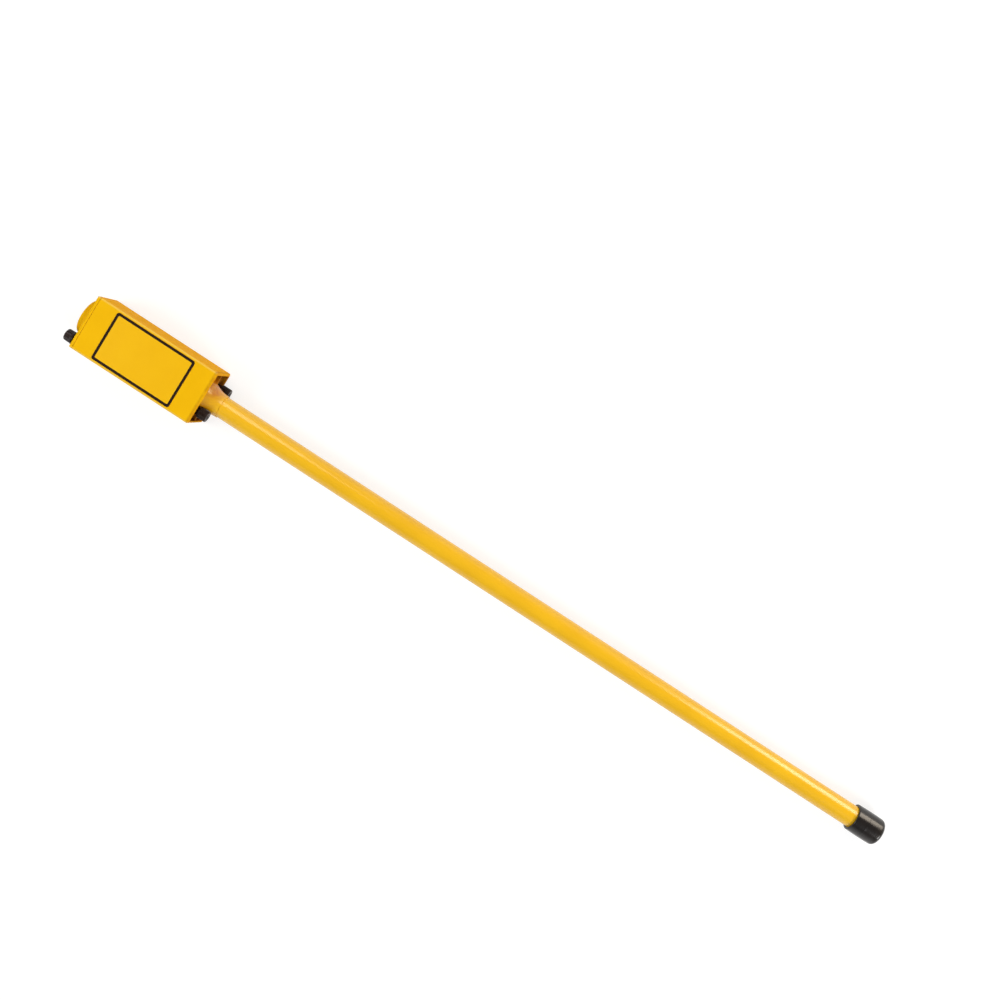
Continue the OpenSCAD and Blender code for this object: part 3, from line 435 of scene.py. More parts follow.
def painted_recess_shade_and_stain(tree, place, colour):
    """Paints stain and shade on the cast end: orange brown on recess, rim and collar, painted shade in the
    corners.

    Both come in blotches and are thinner on the rim. The orange brown, partly painted shade, fades along the
    collar and is thin along its front, so the collar's flanks are darker; the corner shade grows with the
    distance from the tube's axis.
    """
    colour = painted_edge_highlight_and_side_shade(tree, place, colour)
    x, y, z = node(tree, "SeparateXYZ", {0: place}).outputs
    low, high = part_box("lower_end")
    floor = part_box("nut_washers")[0].x
    rim, rim_fade, rim_share, blotch = 3.3 * MM, 0.6 * MM, 0.6, 6 * MM
    wide = within(tree, y, low.y + rim, high.y - rim, rim_fade)
    tall = within(tree, z, low.z + rim, high.z - rim, rim_fade)
    inside = node(tree, "Math", {0: wide, 1: tall}, operation="MULTIPLY").outputs[0]
    climb = {"Value": x, "From Min": floor + 1 * MM, "From Max": floor + 5 * MM, "To Max": rim_share}
    worn = node(tree, "MapRange", climb).outputs[0]
    inside = node(tree, "Math", {0: inside, 1: worn}, operation="MAXIMUM").outputs[0]
    uneven = node(tree, "TexNoise", {"Vector": place, "Scale": 1 / blotch, "Detail": 4.0}).outputs[0]
    patchy = {"Value": uneven, "From Min": 0.3, "From Max": 0.65, "To Min": 0.5, "To Max": 0.85}
    spread = node(tree, "MapRange", patchy).outputs[0]
    inside = node(tree, "Math", {0: inside, 1: spread}, operation="MULTIPLY").outputs[0]
    # Painted shade: the corner shade deepens away from the tube's axis
    corner = {"Value": from_axis(tree, place), "From Min": 17 * MM, "From Max": 26 * MM}
    beside = node(tree, "Math", {0: y}, operation="ABSOLUTE").outputs[0]
    # Painted shade: the orange brown is thinner along the collar's top and deeper on its flanks
    thin = {"Value": beside, "From Min": 3 * MM, "From Max": 11 * MM, "To Min": 0.35, "To Max": 1.0}
    oil_and_shade = within(tree, x, floor - 1 * MM, floor + 9 * MM, 18 * MM)
    corner_shade = within(tree, x, floor - 1 * MM, floor + 3 * MM, 1.5 * MM)
    # Lays the orange brown, partly stain and partly painted shade, then the painted corner shade
    for along, around, tone in ((oil_and_shade, thin, "stain_and_shade"), (corner_shade, corner, "recess_shade")):
        strength = node(tree, "MapRange", around).outputs[0]
        layer = node(tree, "Math", {0: along, 1: strength}, operation="MULTIPLY").outputs[0]
        share = node(tree, "Math", {0: inside, 1: layer}, operation="MULTIPLY").outputs[0]
        blend = {SHARE: share, UNDER: colour, OVER: tint(tone)}
        colour = node(tree, "Mix", blend, data_type="RGBA").outputs[MIXED]
    return colour


def collar_polish(tree, place):
    """The share of a gloss coat on the cast end: whole on its collar, which sliding the cover polishes."""
    away = from_axis(tree, place)
    fall = {"Value": away, "From Min": 17 * MM, "From Max": 21 * MM, "To Min": 1.0, "To Max": 0.0}
    return node(tree, "MapRange", fall).outputs[0]


def ink():
    """Screen printed ink: a thin brown black coat with a dull silk shine and a faint screen grain."""
    return finish(
        "screen_printed_ink", ("ink", "#26150a"), cloud=8, rough=(0.55, 0.68), grain=0.5, relief=0.004,
        IOR=1.5, Specular_IOR_Level=0.15)


def phenolic(name):
    """Moulded phenolic: near black, a low polish with fine pores that break the shine."""
    return finish(
        name, ("phenolic", "#2a1a13"), cloud=6, rough=(0.26, 0.38), grain=0.35, relief=0.008,
        IOR=1.6, Specular_IOR_Level=0.18)


def neoprene(end):
    """Moulded neoprene: soft black with a grey bloom where the end, at this X, rubs on the ground."""
    rubbed, scrape = 12 * MM, 2.2 * MM

    def scuffs(tree, place, colour):
        along = node(tree, "SeparateXYZ", {0: place}).outputs[0]
        ramp = {"Value": along, "From Min": end - rubbed, "From Max": end}
        near = node(tree, "MapRange", ramp).outputs[0]
        marks = node(tree, "TexNoise", {"Vector": place, "Scale": 1 / scrape, "Detail": 5.0}).outputs[0]
        spot = node(tree, "MapRange", {"Value": marks, "From Min": 0.42, "From Max": 0.72}).outputs[0]
        share = node(tree, "Math", {0: near, 1: spot}, operation="MULTIPLY").outputs[0]
        blend = {SHARE: share, UNDER: colour, OVER: tint("#352f2a")}
        return node(tree, "Mix", blend, data_type="RGBA").outputs[MIXED]

    return finish(
        "moulded_neoprene", ("rubber", "#1c1613"), cloud=9, rough=(0.2, 0.28), grain=0.6, relief=0.006,
        paint=scuffs, IOR=1.52, Specular_IOR_Level=0.45)


def plated(name):
    """Zinc plated steel: a cool pale grey with cloudy gloss from the plating bath."""
    return finish(
        name, ("plating", "#d3d4d3"), cloud=2.5, rough=(0.24, 0.42), grain=0.4, relief=0.006, Metallic=1.0)


def sheet_metal(name):
    """Rolled aluminium sheet: a mid grey with long fine lines along X, the rolling direction."""
    return finish(
        name, ("sheet", "#cfd1d2"), cloud=4, rough=(0.3, 0.46), grain=0.5, relief=0.008,
        stretch=(14, 1, 1), Metallic=1.0)


# Steps

class LOCATOR_OT_enamel(bpy.types.Operator):
    """Paint the housing, its two ends, the speaker guard and the sensor tube in yellow enamel"""

    bl_idname = "locator.enamel"
    bl_label = "Enamel"

    def execute(self, context):
        satin = {"rough": (0.6, 0.72), "shine": 0.06}
        gloss = {"rough": (0.2, 0.27), "shine": 0.65}
        # Housing pieces get painted edge highlights and painted side shade; the cast end also gets painted
        # recess shade
        dress(enamel("satin_enamel_on_drawn_sleeve", **satin, paint=painted_edge_highlight_and_side_shade), "cover_sleeve")
        dress(enamel("satin_enamel_on_cast_cap", **satin, paint=painted_edge_highlight_and_side_shade), "top_cap")
        cast_end = enamel("satin_enamel_on_cast_end", **satin, paint=painted_recess_shade_and_stain, polish=collar_polish)
        dress(cast_end, "lower_end")
        dress(enamel("satin_enamel_on_spun_guard", **satin), "speaker_guard")
        dress(enamel("gloss_enamel_on_drawn_tube", **gloss), "sensor_tube")
        return {"FINISHED"}


class LOCATOR_OT_label(bpy.types.Operator):
    """Lay the label film on the housing's front, with its printed border and a bare field"""

    bl_idname = "locator.label"
    bl_label = "Label"

    def execute(self, context):
        sizes = context.scene.locator_sizes
        low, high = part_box("label_plate")
        wide, tall = high.x - low.x, high.y - low.y
        thick = high.z - low.z - sizes.ink_height
        ease = 0.05 * MM
        middle = ((low.x + high.x) / 2, (low.y + high.y) / 2)
        across, along = (1, 0, 0), (0, 1, 0)
        # Calendered polyester film: smooth, a little glossier than the enamel beside it, barely uneven
        film = finish(
            "polyester_label_film", ("film", "#f7c10a"), cloud=30, rough=(0.3, 0.4), grain=4, relief=0.006,
            IOR=1.57, Specular_IOR_Level=0.1)
        plate = tablet(wide, tall, sizes.border_corner, thick, ease, (*middle, low.z), across, along)
        made = piece("label_film", [plate], film, "cover")
        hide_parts("label_plate")
        inset = sizes.border_width
        top = sizes.ink_height
        outer = rounded(wide, tall, sizes.border_corner)
        inner = rounded(wide - 2 * inset, tall - 2 * inset, sizes.border_inner)
        rows = [(outer, -ease), (outer, top), (inner, top), (inner, -ease)]
        border = flat_shape(rows, (*middle, low.z + thick), across, along)
        piece("label_border", [border], ink(), "cover", loop=True)
        return {"FINISHED"}


class LOCATOR_OT_tip(bpy.types.Operator):
    """Mould the rubber cap on the sensor tube's tip"""

    bl_idname = "locator.tip"
    bl_label = "Tip cap"

    def execute(self, context):
        low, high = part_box("tip_cap")
        centre = ((low.y + high.y) / 2, (low.z + high.z) / 2)
        cap = turned(self.outline(low, high), centre)
        made = piece("tip_cap_rubber", [cap], neoprene(high.x), "chassis")
        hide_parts("tip_cap")
        return {"FINISHED"}

    def outline(self, low, high):
        """The cap's profile: up its bore, round the mouth, over a flash line, round the nose, into a dish."""
        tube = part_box("sensor_tube")[1]
        mouth, end, reach = low.x / MM, high.x / MM, (high.y - low.y) / 2 / MM
        bore, floor = tube.y / MM + 0.05, tube.x / MM
        lip, mouth_round, mouth_in = 0.8, 1.0, 1.3
        waist, waist_in, belly, belly_in = mouth + 7, 0.12, mouth + 24, 0.08
        flash, half, foot, foot_in = mouth + 14, 0.2, 0.5, 0.03
        nose, nose_in, face_in = 4.6, 4.85, 6.2
        dish, dish_in, dish_round, round_in = 0.05, 7.2, 0.5, 8.6
        flat, flat_deep, middle_deep = 3, 0.35, 0.4
        return profile(
            (floor, 0), (floor, bore), arc(mouth + lip, bore + lip, lip, 270, 180, 6),
            arc(mouth + mouth_round, reach - mouth_in, mouth_round, 180, 90, 8), (waist, reach - waist_in),
            (flash - foot, reach - foot_in), (flash - half, reach), (flash + half, reach),
            (flash + foot, reach - foot_in), (belly, reach - belly_in),
            arc(end - nose, reach - nose_in, nose, 88, 5, 14), (end, reach - face_in),
            (end - dish, reach - dish_in), arc(end - dish_round, reach - round_in, dish_round, 20, -30, 5),
            (end - flat_deep, flat), (end - middle_deep, 0), step=1.5)


class LOCATOR_OT_thumb_nuts(bpy.types.Operator):
    """Turn and knurl the two thumb nuts on the lower end"""

    bl_idname = "locator.thumb_nuts"
    bl_label = "Thumb nuts"

    def execute(self, context):
        black = phenolic("moulded_phenolic_nuts")
        for side in ("front", "back"):
            nut = self.nut(context.scene.locator_sizes, *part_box(f"thumb_nut_{side}"))
            made = piece(f"thumb_nut_{side}_knurled", [nut], black, f"{side}_nut")
            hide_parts(f"thumb_nut_{side}")
        return {"FINISHED"}

    def nut(self, sizes, low, high):
        """A blind nut: up its bore, out over the neck and the knurled head, in past a groove to a ring."""
        foot, end, reach = low.x / MM, high.x / MM, (high.y - low.y) / 2 / MM
        bore, deep, bore_ease = 2.62, end - 2.5, 0.4
        neck, neck_ease, shoulder, fillet, ease = reach - 2, 0.3, foot + 5, 0.4, 0.8
        groove, ring, ring_round, ring_rise, dimple = 3.6, 3.0, 0.6, 0.2, 0.45
        line = profile(
            (deep, 0), (deep, bore), (foot + bore_ease, bore), (foot, bore + bore_ease),
            (foot, neck - neck_ease), (foot + neck_ease, neck), (shoulder - fillet, neck),
            arc(shoulder - fillet, neck + fillet, fillet, 270, 360, 4), (shoulder, reach - ease),
            arc(shoulder + ease, reach - ease, ease, 180, 90, 6),
            arc(end - ease, reach - ease, ease, 90, 0, 6), (end, groove),
            arc(end + ring_rise, ring, ring_round, 200, 270, 4), (end - dimple, 0), step=0.7)
        margin, fade, head_share, flank, columns = 0.9, 0.6 * MM, 0.8, 1.3, 8
        knurl = grooves(
            sizes.knurls, sizes.knurl_depth, (shoulder + margin) * MM, (end - margin) * MM, fade,
            head_share * reach * MM, flank)
        centre = ((low.y + high.y) / 2, (low.z + high.z) / 2)
        return turned(line, centre, sizes.knurls * columns, knurl)


class LOCATOR_OT_knobs(bpy.types.Operator):
    """Mould the two control knobs, each with flutes and a filled pointer line"""

    bl_idname = "locator.knobs"
    bl_label = "Control knobs"

    def execute(self, context):
        black = phenolic("moulded_phenolic_knobs")
        # Paint rubbed into a groove: an off white that stays matt
        white = finish(
            "paint_filled_line", ("pointer", "#f0ede4"), cloud=1.5, rough=(0.5, 0.62), grain=0.3,
            relief=0.006, IOR=1.48)
        for control, marks in DIALS.items():
            low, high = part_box(f"{control}_knob")
            knob, strip = self.knob(context.scene.locator_sizes, low, high, math.radians(marks[0]))
            made = piece(f"{control}_knob_fluted", [knob], black, control)
            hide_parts(f"{control}_knob")
            piece(f"{control}_pointer", [strip], white, control)
        return {"FINISHED"}

    def knob(self, sizes, low, high, angle):
        """A knob open below: up its bore and hollow, over the skirt and the fluted side to a dished face.

        Its pointer follows the face, the crown and the side of the same profile, at one angle.
        """
        end, foot, reach = low.x / MM, high.x / MM, (high.z - low.z) / 2 / MM
        face = end + 0.1
        bore, roof, hollow, hollow_deep, mouth = 1.63, end + 2.4, 5.2, foot - 4, 0.3
        skirt_ease, skirt_top, waist, waist_in = 0.4, foot - 1.6, foot - 1.9, 0.3
        crown, crown_in, crown_middle = 1, reach - 0.55, reach - 1.55
        dish, dish_in, dish_fall, dish_deep = 3.5, 2.9, 0.25, 0.3
        line = profile(
            (roof, 0), (roof, bore), (hollow_deep, bore), (hollow_deep, hollow), (foot - mouth, hollow),
            (foot, hollow + mouth), (foot, reach - skirt_ease), (foot - skirt_ease, reach),
            (skirt_top, reach), (waist, reach - waist_in), (face + crown, crown_in),
            arc(face + crown, crown_middle, crown, 90, 180, 8),
            (face, dish), (face + dish_fall, dish_in), (face + dish_deep, 0), step=0.7)
        fade, side_share, flank, columns = 0.8 * MM, 0.7, 0.7, 12
        flute = grooves(
            sizes.flutes, sizes.flute_depth, -np.inf, waist * MM, fade, side_share * reach * MM, flank, angle)
        inner, outer, past, stop, stop_in = 3.8, reach - 1.6, 1.2, foot - 2.2, 0.33
        path = profile(
            (face, inner), (face, outer), arc(face + crown, crown_middle, crown, 178, 92, 7),
            (face + past, crown_in), (stop, reach - stop_in), step=0.8)
        sunk, proud = 0.35 * MM, 0.08 * MM
        centre = ((low.y + high.y) / 2, (low.z + high.z) / 2)
        strip = pointer_strip(path, sizes.pointer_width, sunk, proud, angle, centre)
        return turned(line, centre, sizes.flutes * columns, flute), strip


class LOCATOR_OT_dials(bpy.types.Operator):
    """Print the plain dial marks on the top cap round the two knobs"""

    bl_idname = "locator.dials"
    bl_label = "Dial marks"

    def execute(self, context):
        black = ink()
        dot_widths, tick = (0.7, 1.3), (1.8, 0.5, 0.2)
        # A dot's corners stay a little under half its width, so that no two points fall together
        dots = [self.mark("volume", a, d, d, d / 2.02) for a, d in zip(DIALS["volume"], dot_widths)]
        ticks = [self.mark("sensitivity", a, *tick) for a in DIALS["sensitivity"]]
        piece("volume_marks", dots, black, "chassis")
        piece("sensitivity_marks", ticks, black, "chassis")
        return {"FINISHED"}

    def mark(self, control, angle, wide, tall, corner):
        """One mark of these sizes in mm: a tablet on the cap's face, at an angle and just past the knob."""
        thick, ease, sunk, clear = 0.05 * MM, 0.01 * MM, 0.02 * MM, 1.7 * MM
        low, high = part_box(f"{control}_knob")
        turn = math.radians(angle)
        out = np.array([0, math.cos(turn), math.sin(turn)])
        around = np.cross([1, 0, 0], out)
        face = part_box("top_cap")[0].x
        centre = np.array([face + sunk, (low.y + high.y) / 2, (low.z + high.z) / 2])
        spot = centre + ((high.z - low.z) / 2 + clear) * out
        return tablet(wide * MM, tall * MM, corner * MM, thick, ease, spot, out, -around)


class LOCATOR_OT_speaker(bpy.types.Operator):
    """Dress the speaker: woven screen, paper cone, pressed basket and plated magnet pot"""

    bl_idname = "locator.speaker"
    bl_label = "Speaker"

    def execute(self, context):
        # Woven polyester: threads 0.3 mm apart in truth, drawn 0.8 mm apart so that the weave shows
        thread = 0.8
        dress(finish(
            "woven_screen_cloth", ("#232324", "#303031"), cloud=2, rough=(0.75, 0.9), grain=0.4, relief=0.05,
            paint=stripes("Y", thread, "#060607", 0.8), emboss=ridges("Z", thread), IOR=1.5,
            Sheen_Weight=0.3), "speaker_screen")
        # Pressed paper: matt grey black fibres
        dress(finish(
            "pressed_paper", ("#26231f", "#38342e"), cloud=3, rough=(0.85, 0.95), grain=0.5, relief=0.04,
            IOR=1.45), "speaker_cone")
        # Stoved paint on pressed steel: satin black over slight draw marks
        dress(finish(
            "stoved_pressed_steel", ("#2c2d2f", "#3a3b3d"), cloud=5, rough=(0.38, 0.5), grain=0.6,
            relief=0.01, IOR=1.5), "speaker_basket")
        dress(plated("zinc_plated_magnet_pot"), "speaker_magnet")
        return {"FINISHED"}


class LOCATOR_OT_metal(bpy.types.Operator):
    """Dress the chassis metal, the control bodies and the seals"""

    bl_idname = "locator.metal"
    bl_label = "Chassis metal"

    def execute(self, context):
        dress(sheet_metal("rolled_aluminium_tray"), "chassis_tray")
        dress(sheet_metal("rolled_aluminium_bracket"), "battery_bracket")
        # Sand cast aluminium: pale grey with a coarse dry skin
        dress(finish(
            "sand_cast_aluminium", ("#a9abac", "#b7b8b9"), cloud=4, rough=(0.45, 0.62), grain=1.2,
            relief=0.05, Metallic=1.0), "tube_bulkhead")
        dress(plated("zinc_plated_screws"), "tray_screws", "board_screws", "bracket_screws", "guard_screws")
        studs = plated("zinc_plated_studs")
        dress(studs, "cover_studs", "board_standoffs", "volume_shaft", "sensitivity_shaft")
        # Nickel plated brass: warmer than zinc and brighter
        dress(finish(
            "nickel_plated_brass", ("#c4bda9", "#d8d2c2"), cloud=2, rough=(0.16, 0.3), grain=0.4,
            relief=0.004, Metallic=1.0), "panel_nuts")
        # Glass filled nylon: slate grey bodies with a fine dry grain
        dress(finish(
            "moulded_glass_filled_nylon", ("#3a424b", "#464e57"), cloud=4, rough=(0.5, 0.64), grain=0.4,
            relief=0.015, IOR=1.53), "volume_pot", "sensitivity_switch")
        # Black oxide on steel: dark with a thin oily shine
        dress(finish(
            "black_oxide_steel", ("#2b2b2c", "#3c3c3d"), cloud=2, rough=(0.35, 0.5), grain=0.3,
            relief=0.006, Metallic=1.0), "set_screws", "nut_washers")
        # Hard drawn spring steel: bright wire with a fine grain
        dress(finish(
            "drawn_spring_steel", ("#a3a5a6", "#c2c3c4"), cloud=2, rough=(0.2, 0.34), grain=0.3,
            relief=0.004, Metallic=1.0), "battery_springs")
        # Moulded EPDM: soft dull black
        dress(finish(
            "moulded_epdm", ("#191919", "#242424"), cloud=5, rough=(0.6, 0.75), grain=0.5, relief=0.02,
            IOR=1.5), "tube_seal", "beam_bushes")
        # Die cut silicone: amber sheet with a soft dull face
        dress(finish(
            "die_cut_silicone", ("#c08a24", "#cc962e"), cloud=6, rough=(0.55, 0.7), grain=0.5, relief=0.012,
            IOR=1.43), "cover_gasket")
        return {"FINISHED"}


def copper_tracks(tree, place, colour):
    """Paints tracks 0.7 mm wide: the joints of a brick pattern of long low bricks."""
    bricks = {
        "Vector": place, "Color1": (0, 0, 0, 1), "Color2": (0.25, 0.25, 0.25, 1), "Mortar": WHITE,
        "Scale": 1.0, "Brick Width": 17 * MM, "Row Height": 2.6 * MM, "Mortar Size": 0.35 * MM,
        "Mortar Smooth": 0.1}
    lines = node(tree, "TexBrick", bricks, offset=0.37).outputs[0]
    strength = 0.8
    share = node(tree, "Math", {0: lines, 1: strength}, operation="MULTIPLY").outputs[0]
    blend = {SHARE: share, UNDER: colour, OVER: tint("#4f8a3e")}
    return node(tree, "Mix", blend, data_type="RGBA").outputs[MIXED]


class LOCATOR_OT_board(bpy.types.Operator):
    """Dress the circuit board, what it carries, and the moulded plastic in the tube"""

    bl_idname = "locator.board"
    bl_label = "Circuit board"

    def execute(self, context):
        # Solder mask on glass laminate: glossy green, paler where copper runs under it
        dress(finish(
            "solder_mask_on_laminate", ("mask", "#24663a"), cloud=9, rough=(0.28, 0.4), grain=0.5,
            relief=0.006, paint=copper_tracks, IOR=1.55), "circuit_board")
        # Transfer moulded epoxy: flat grey black
        dress(finish(
            "moulded_epoxy", ("#1a1a1b", "#262627"), cloud=2, rough=(0.55, 0.7), grain=0.25, relief=0.01,
            IOR=1.55), "chips")
        # Shrunk sleeve: smooth dark blue film
        dress(finish(
            "shrunk_pvc_sleeve", ("#182b4d", "#20375f"), cloud=4, rough=(0.25, 0.35), grain=0.6,
            relief=0.006, IOR=1.53), "capacitors")
        # Varnished laminations: edges of 0.5 mm steel sheets, drawn 1 mm apart to show
        sheet = 1.0
        dress(finish(
            "varnished_laminations", ("#4a4a48", "#5e5d59"), cloud=3, rough=(0.35, 0.5), grain=0.5,
            relief=0.02, paint=stripes("Z", sheet, "#24221f", 0.7), emboss=ridges("Z", sheet),
            IOR=1.5), "transformer")
        # Moulded nylon: creamy, waxy and slightly see through
        dress(finish(
            "moulded_nylon", ("#d8d0b8", "#e4dcc6"), cloud=5, rough=(0.4, 0.52), grain=0.4, relief=0.008,
            IOR=1.53, Subsurface_Weight=0.1), "board_header", "lower_bobbin", "upper_bobbin")
        # Moulded polythene: black with a waxy shine
        dress(finish(
            "moulded_polythene", ("#1b1b1c", "#252526"), cloud=6, rough=(0.45, 0.56), grain=0.5,
            relief=0.01, IOR=1.51), "tube_plug")
        return {"FINISHED"}


def copper_band(tree, place, colour):
    """Paints the plain copper coloured band round the far end of the batteries."""
    low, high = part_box("battery_left")
    plain_share, past, fade = 0.72, 1 * MM, 0.1 * MM
    split = low.x + plain_share * (high.x - low.x)
    along = node(tree, "SeparateXYZ", {0: place}).outputs[0]
    share = within(tree, along, split, high.x + past, fade)
    blend = {SHARE: share, UNDER: colour, OVER: tint("#b07a3c")}
    return node(tree, "Mix", blend, data_type="RGBA").outputs[MIXED]


class LOCATOR_OT_batteries(bpy.types.Operator):
    """Dress the two batteries, their snaps and their strap"""

    bl_idname = "locator.batteries"
    bl_label = "Batteries"

    def execute(self, context):
        # Printed steel jacket: graphite with one plain band
        dress(finish(
            "printed_battery_jacket", ("#2e3134", "#3a3d40"), cloud=10, rough=(0.25, 0.36), grain=0.8,
            relief=0.006, paint=copper_band, IOR=1.5), "battery_left", "battery_right")
        # Moulded nylon snaps: dark red with a waxy shine
        dress(finish(
            "moulded_red_nylon", ("#5e241e", "#6f2f27"), cloud=3, rough=(0.4, 0.54), grain=0.4, relief=0.01,
            IOR=1.53), "battery_snaps")
        # Rolled spring steel: a bright strip with fine lines over its top and down its legs
        dress(finish(
            "rolled_spring_steel", ("#b4b7ba", "#cfd1d3"), cloud=3, rough=(0.22, 0.38), grain=0.4,
            relief=0.005, stretch=(1, 12, 12), Metallic=1.0), "battery_strap")
        return {"FINISHED"}


class LOCATOR_OT_sensors(bpy.types.Operator):
    """Dress the sensor beam, cores, windings and cable inside the tube"""

    bl_idname = "locator.sensors"
    bl_label = "Sensors"

    def execute(self, context):
        # Glass fibre laminate: tan, with long fibres along the beam
        dress(finish(
            "pressed_glass_fibre_laminate", ("#b0803f", "#c2944f"), cloud=4, rough=(0.4, 0.55), grain=0.6,
            relief=0.02, stretch=(6, 1, 1), IOR=1.55), "sensor_beam")
        # Enamelled copper wire: turns 0.25 mm apart in truth, drawn 0.8 mm apart so that they show
        turn = 0.8
        dress(finish(
            "enamelled_copper_winding", ("#8c4a22", "#b0632f"), cloud=2, rough=(0.25, 0.4), grain=0.4,
            relief=0.08, paint=stripes("X", turn, "#4c2410", 0.7), emboss=ridges("X", turn),
            Metallic=0.85), "lower_winding", "upper_winding")
        # Annealed nickel iron: pale warm grey strip
        dress(finish(
            "annealed_nickel_iron", ("#a39f97", "#b9b5ac"), cloud=3, rough=(0.3, 0.45), grain=0.4,
            relief=0.006, stretch=(8, 1, 1), Metallic=1.0), "lower_core", "upper_core")
        # Extruded vinyl: a smooth dark red sheath
        dress(finish(
            "extruded_vinyl_sheath", ("#6d1a18", "#7d2420"), cloud=6, rough=(0.45, 0.55), grain=0.6,
            relief=0.01, stretch=(5, 1, 1), IOR=1.53), "sensor_cable")
        return {"FINISHED"}


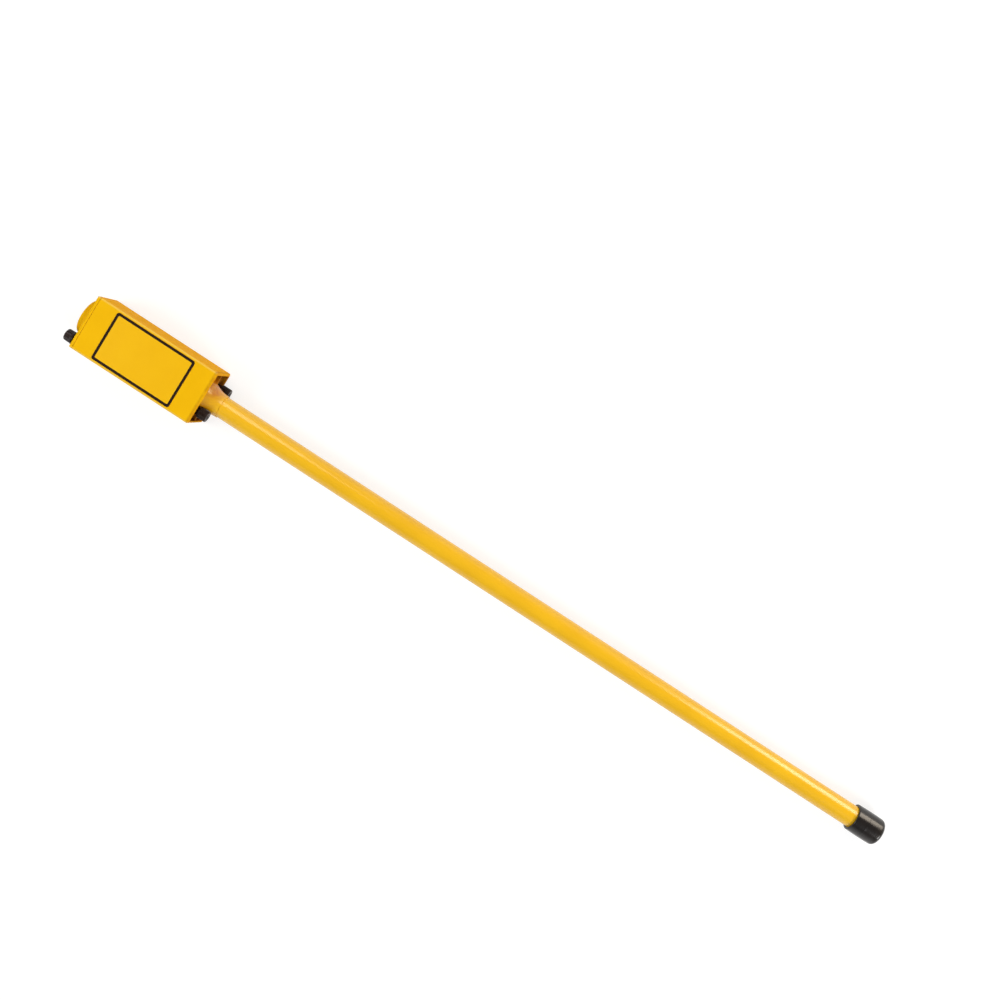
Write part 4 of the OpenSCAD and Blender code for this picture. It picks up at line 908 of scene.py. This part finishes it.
class LOCATOR_OT_stage(bpy.types.Operator):
    """Set the camera, the soft lamps, the surrounding light and the pale floor"""

    bl_idname = "locator.stage"
    bl_label = "Stage"

    def execute(self, context):
        scene, stage = context.scene, context.scene.locator_stage
        scene.view_settings.view_transform = "Standard"
        self.camera(scene, stage)
        large, near_share, warm = (1.2, 1.2), 0.325, stage.strip_tone
        far_power = stage.strip_power
        near_power = near_share * far_power
        lamps = (
            ("key_softbox", (-1.7, -0.9, 1.9), (0.3, 0, 0), large, stage.key_power, WHITE),
            ("fill_softbox", (3.4, -0.9, 2.2), (0.5, 0, 0), large, stage.fill_power, WHITE),
            ("strip_softbox_near", (-0.30, 1.2, 1.31), (0.13, 0, 0.03), (0.35, 1.1), near_power, warm),
            ("strip_softbox_far", (1.55, 1.6, 0.8), (0.87, 0, 0.03), (0.65, 1.1), far_power, warm),
        )
        for lamp in lamps:
            self.lamp(scene, *lamp)
        self.sky(scene, stage)
        self.ground(scene, stage)
        return {"FINISHED"}

    def camera(self, scene, stage):
        """The photograph's view, rolled about the line from its aim to its place."""
        data = bpy.data.cameras.new("photograph_view")
        data.lens, data.sensor_width = stage.lens, 36
        data.clip_start, data.clip_end = 0.01, 100
        view = bpy.data.objects.new("photograph_view", data)
        place = Vector(stage.place)
        back = (place - Vector(stage.aim)).normalized()
        level = Vector((0, 1, 0)).cross(back).normalized()
        right = Matrix.Rotation(stage.roll, 3, back) @ level
        turn = Matrix((right, back.cross(right), back)).transposed()
        view.matrix_world = Matrix.Translation(place) @ turn.to_4x4()
        scene.collection.objects.link(view)
        scene.camera = view

    def lamp(self, scene, name, place, aim, size, power, tone):
        """A soft rectangular lamp of this width and height, in metres, that faces its aim."""
        data = bpy.data.lights.new(name, "AREA")
        data.shape, data.energy, data.color = "RECTANGLE", power, tone[:3]
        data.size, data.size_y = size
        made = bpy.data.objects.new(name, data)
        facing = (Vector(aim) - Vector(place)).to_track_quat("-Z", "Y").to_matrix()
        made.matrix_world = Matrix.Translation(place) @ facing.to_4x4()
        scene.collection.objects.link(made)

    def shown(self, tree):
        """A socket that is 1 for rays that show the background: from the camera, off gloss, through glass."""
        path = node(tree, "LightPath").outputs
        seen = path["Is Camera Ray"]
        for ray in ("Is Glossy Ray", "Is Transmission Ray"):
            seen = node(tree, "Math", {0: seen, 1: path[ray]}, operation="MAXIMUM").outputs[0]
        return seen

    def sky(self, scene, stage):
        """Surrounding light that falls from sky_low at the horizon to sky_high overhead.

        Where it is seen, it is white near the horizon and falls to sky_high over a band of height.
        """
        scene.world = bpy.data.worlds.new("studio_walls")
        scene.world.use_nodes = True
        tree = scene.world.node_tree
        tree.nodes.clear()
        spot = node(tree, "TexCoord").outputs["Generated"]
        up = node(tree, "SeparateXYZ", {0: spot}).outputs[2]
        band_low, band_high = 0.2, 0.6
        shades = []
        for start, stop, strength in ((0.0, 1.0, stage.sky_low), (band_low, band_high, 1.0)):
            fall = {"Value": up, "From Min": start, "From Max": stop, "To Min": strength}
            height = node(tree, "MapRange", {**fall, "To Max": stage.sky_high}).outputs[0]
            shades.append(node(tree, "Background", {"Color": WHITE, "Strength": height}).outputs[0])
        both = node(tree, "MixShader", {0: self.shown(tree), 1: shades[0], 2: shades[1]})
        node(tree, "OutputWorld", {"Surface": both.outputs[0]})

    def ground(self, scene, stage):
        """A pale floor under the housing's edge and the tip cap: z = (x - heel) rise / (toe - heel)."""
        tip_low, tip_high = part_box("tip_cap")
        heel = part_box("lower_end")[1].x - 20.5 * MM
        toe, rise = tip_high.x - 5 * MM, tip_low.z
        half = 9.0
        x, y = np.meshgrid([-half, half], [-half, half], indexing="ij")
        z = (x - heel) * rise / (toe - heel)
        mesh = bpy.data.meshes.new("pale_floor")
        mesh.from_pydata(np.stack([x, y, z], -1).reshape(-1, 3).tolist(), [], [(0, 2, 3, 1)])
        mesh.materials.append(self.floor_paint(stage, toe / 2))
        floor = bpy.data.objects.new("pale_floor", mesh)
        scene.collection.objects.link(floor)

    def floor_paint(self, stage, middle):
        """Matt paint that is white with a soft shadow where it is seen.

        Its own light grows from floor_white to 1 between near and far from the part, where the lamps fade.
        """
        near, far, grey = 1.0, 3.0, (0.35, 0.35, 0.35, 1)
        material = bpy.data.materials.new("matt_painted_floor")
        material.use_nodes = True
        tree = material.node_tree
        tree.nodes.clear()
        matt = node(tree, "BsdfDiffuse", {"Color": stage.floor})
        pale = node(tree, "BsdfDiffuse", {"Color": grey})
        spot = node(tree, "TexCoord").outputs["Object"]
        centred = node(tree, "Mapping", {"Vector": spot, "Location": (-middle, 0, 0)}).outputs[0]
        away = node(tree, "VectorMath", {0: centred}, operation="LENGTH").outputs[1]
        grow = {"Value": away, "From Min": near, "From Max": far, "To Min": stage.floor_white, "To Max": 1.0}
        own = node(tree, "MapRange", grow).outputs[0]
        glow = node(tree, "Emission", {"Color": WHITE, "Strength": own})
        lit = node(tree, "AddShader", {0: pale.outputs[0], 1: glow.outputs[0]})
        both = node(tree, "MixShader", {0: self.shown(tree), 1: matt.outputs[0], 2: lit.outputs[0]})
        node(tree, "OutputMaterial", {"Surface": both.outputs[0]})
        return material


STEPS = (
    LOCATOR_OT_enamel, LOCATOR_OT_label, LOCATOR_OT_tip, LOCATOR_OT_thumb_nuts, LOCATOR_OT_knobs,
    LOCATOR_OT_dials, LOCATOR_OT_speaker, LOCATOR_OT_metal, LOCATOR_OT_board, LOCATOR_OT_batteries,
    LOCATOR_OT_sensors, LOCATOR_OT_stage,
)
GROUPS = {
    "locator_colours": LocatorColours,
    "locator_sizes": LocatorSizes,
    "locator_stage": LocatorStage,
}


class LOCATOR_PT_panel(bpy.types.Panel):
    """Lists the steps and what each group of them may change"""

    bl_idname = "LOCATOR_PT_panel"
    bl_label = "Magnetic locator"
    bl_space_type = "VIEW_3D"
    bl_region_type = "UI"
    bl_category = "Locator"

    def draw(self, context):
        for step in STEPS:
            self.layout.operator(step.bl_idname)
        for group, kind in GROUPS.items():
            box = self.layout.box()
            box.label(text=kind.__doc__)
            for field in kind.__annotations__:
                box.prop(getattr(context.scene, group), field)


def register():
    for kind in (*GROUPS.values(), *STEPS, LOCATOR_PT_panel):
        bpy.utils.register_class(kind)
    for group, kind in GROUPS.items():
        setattr(bpy.types.Scene, group, PointerProperty(type=kind))


def unregister():
    for group in GROUPS:
        delattr(bpy.types.Scene, group)
    for kind in (LOCATOR_PT_panel, *reversed(STEPS), *GROUPS.values()):
        bpy.utils.unregister_class(kind)


def main():
    register()
    for step in STEPS:
        getattr(bpy.ops.locator, step.bl_idname.split(".")[1])()


if __name__ == "__main__":
    main()
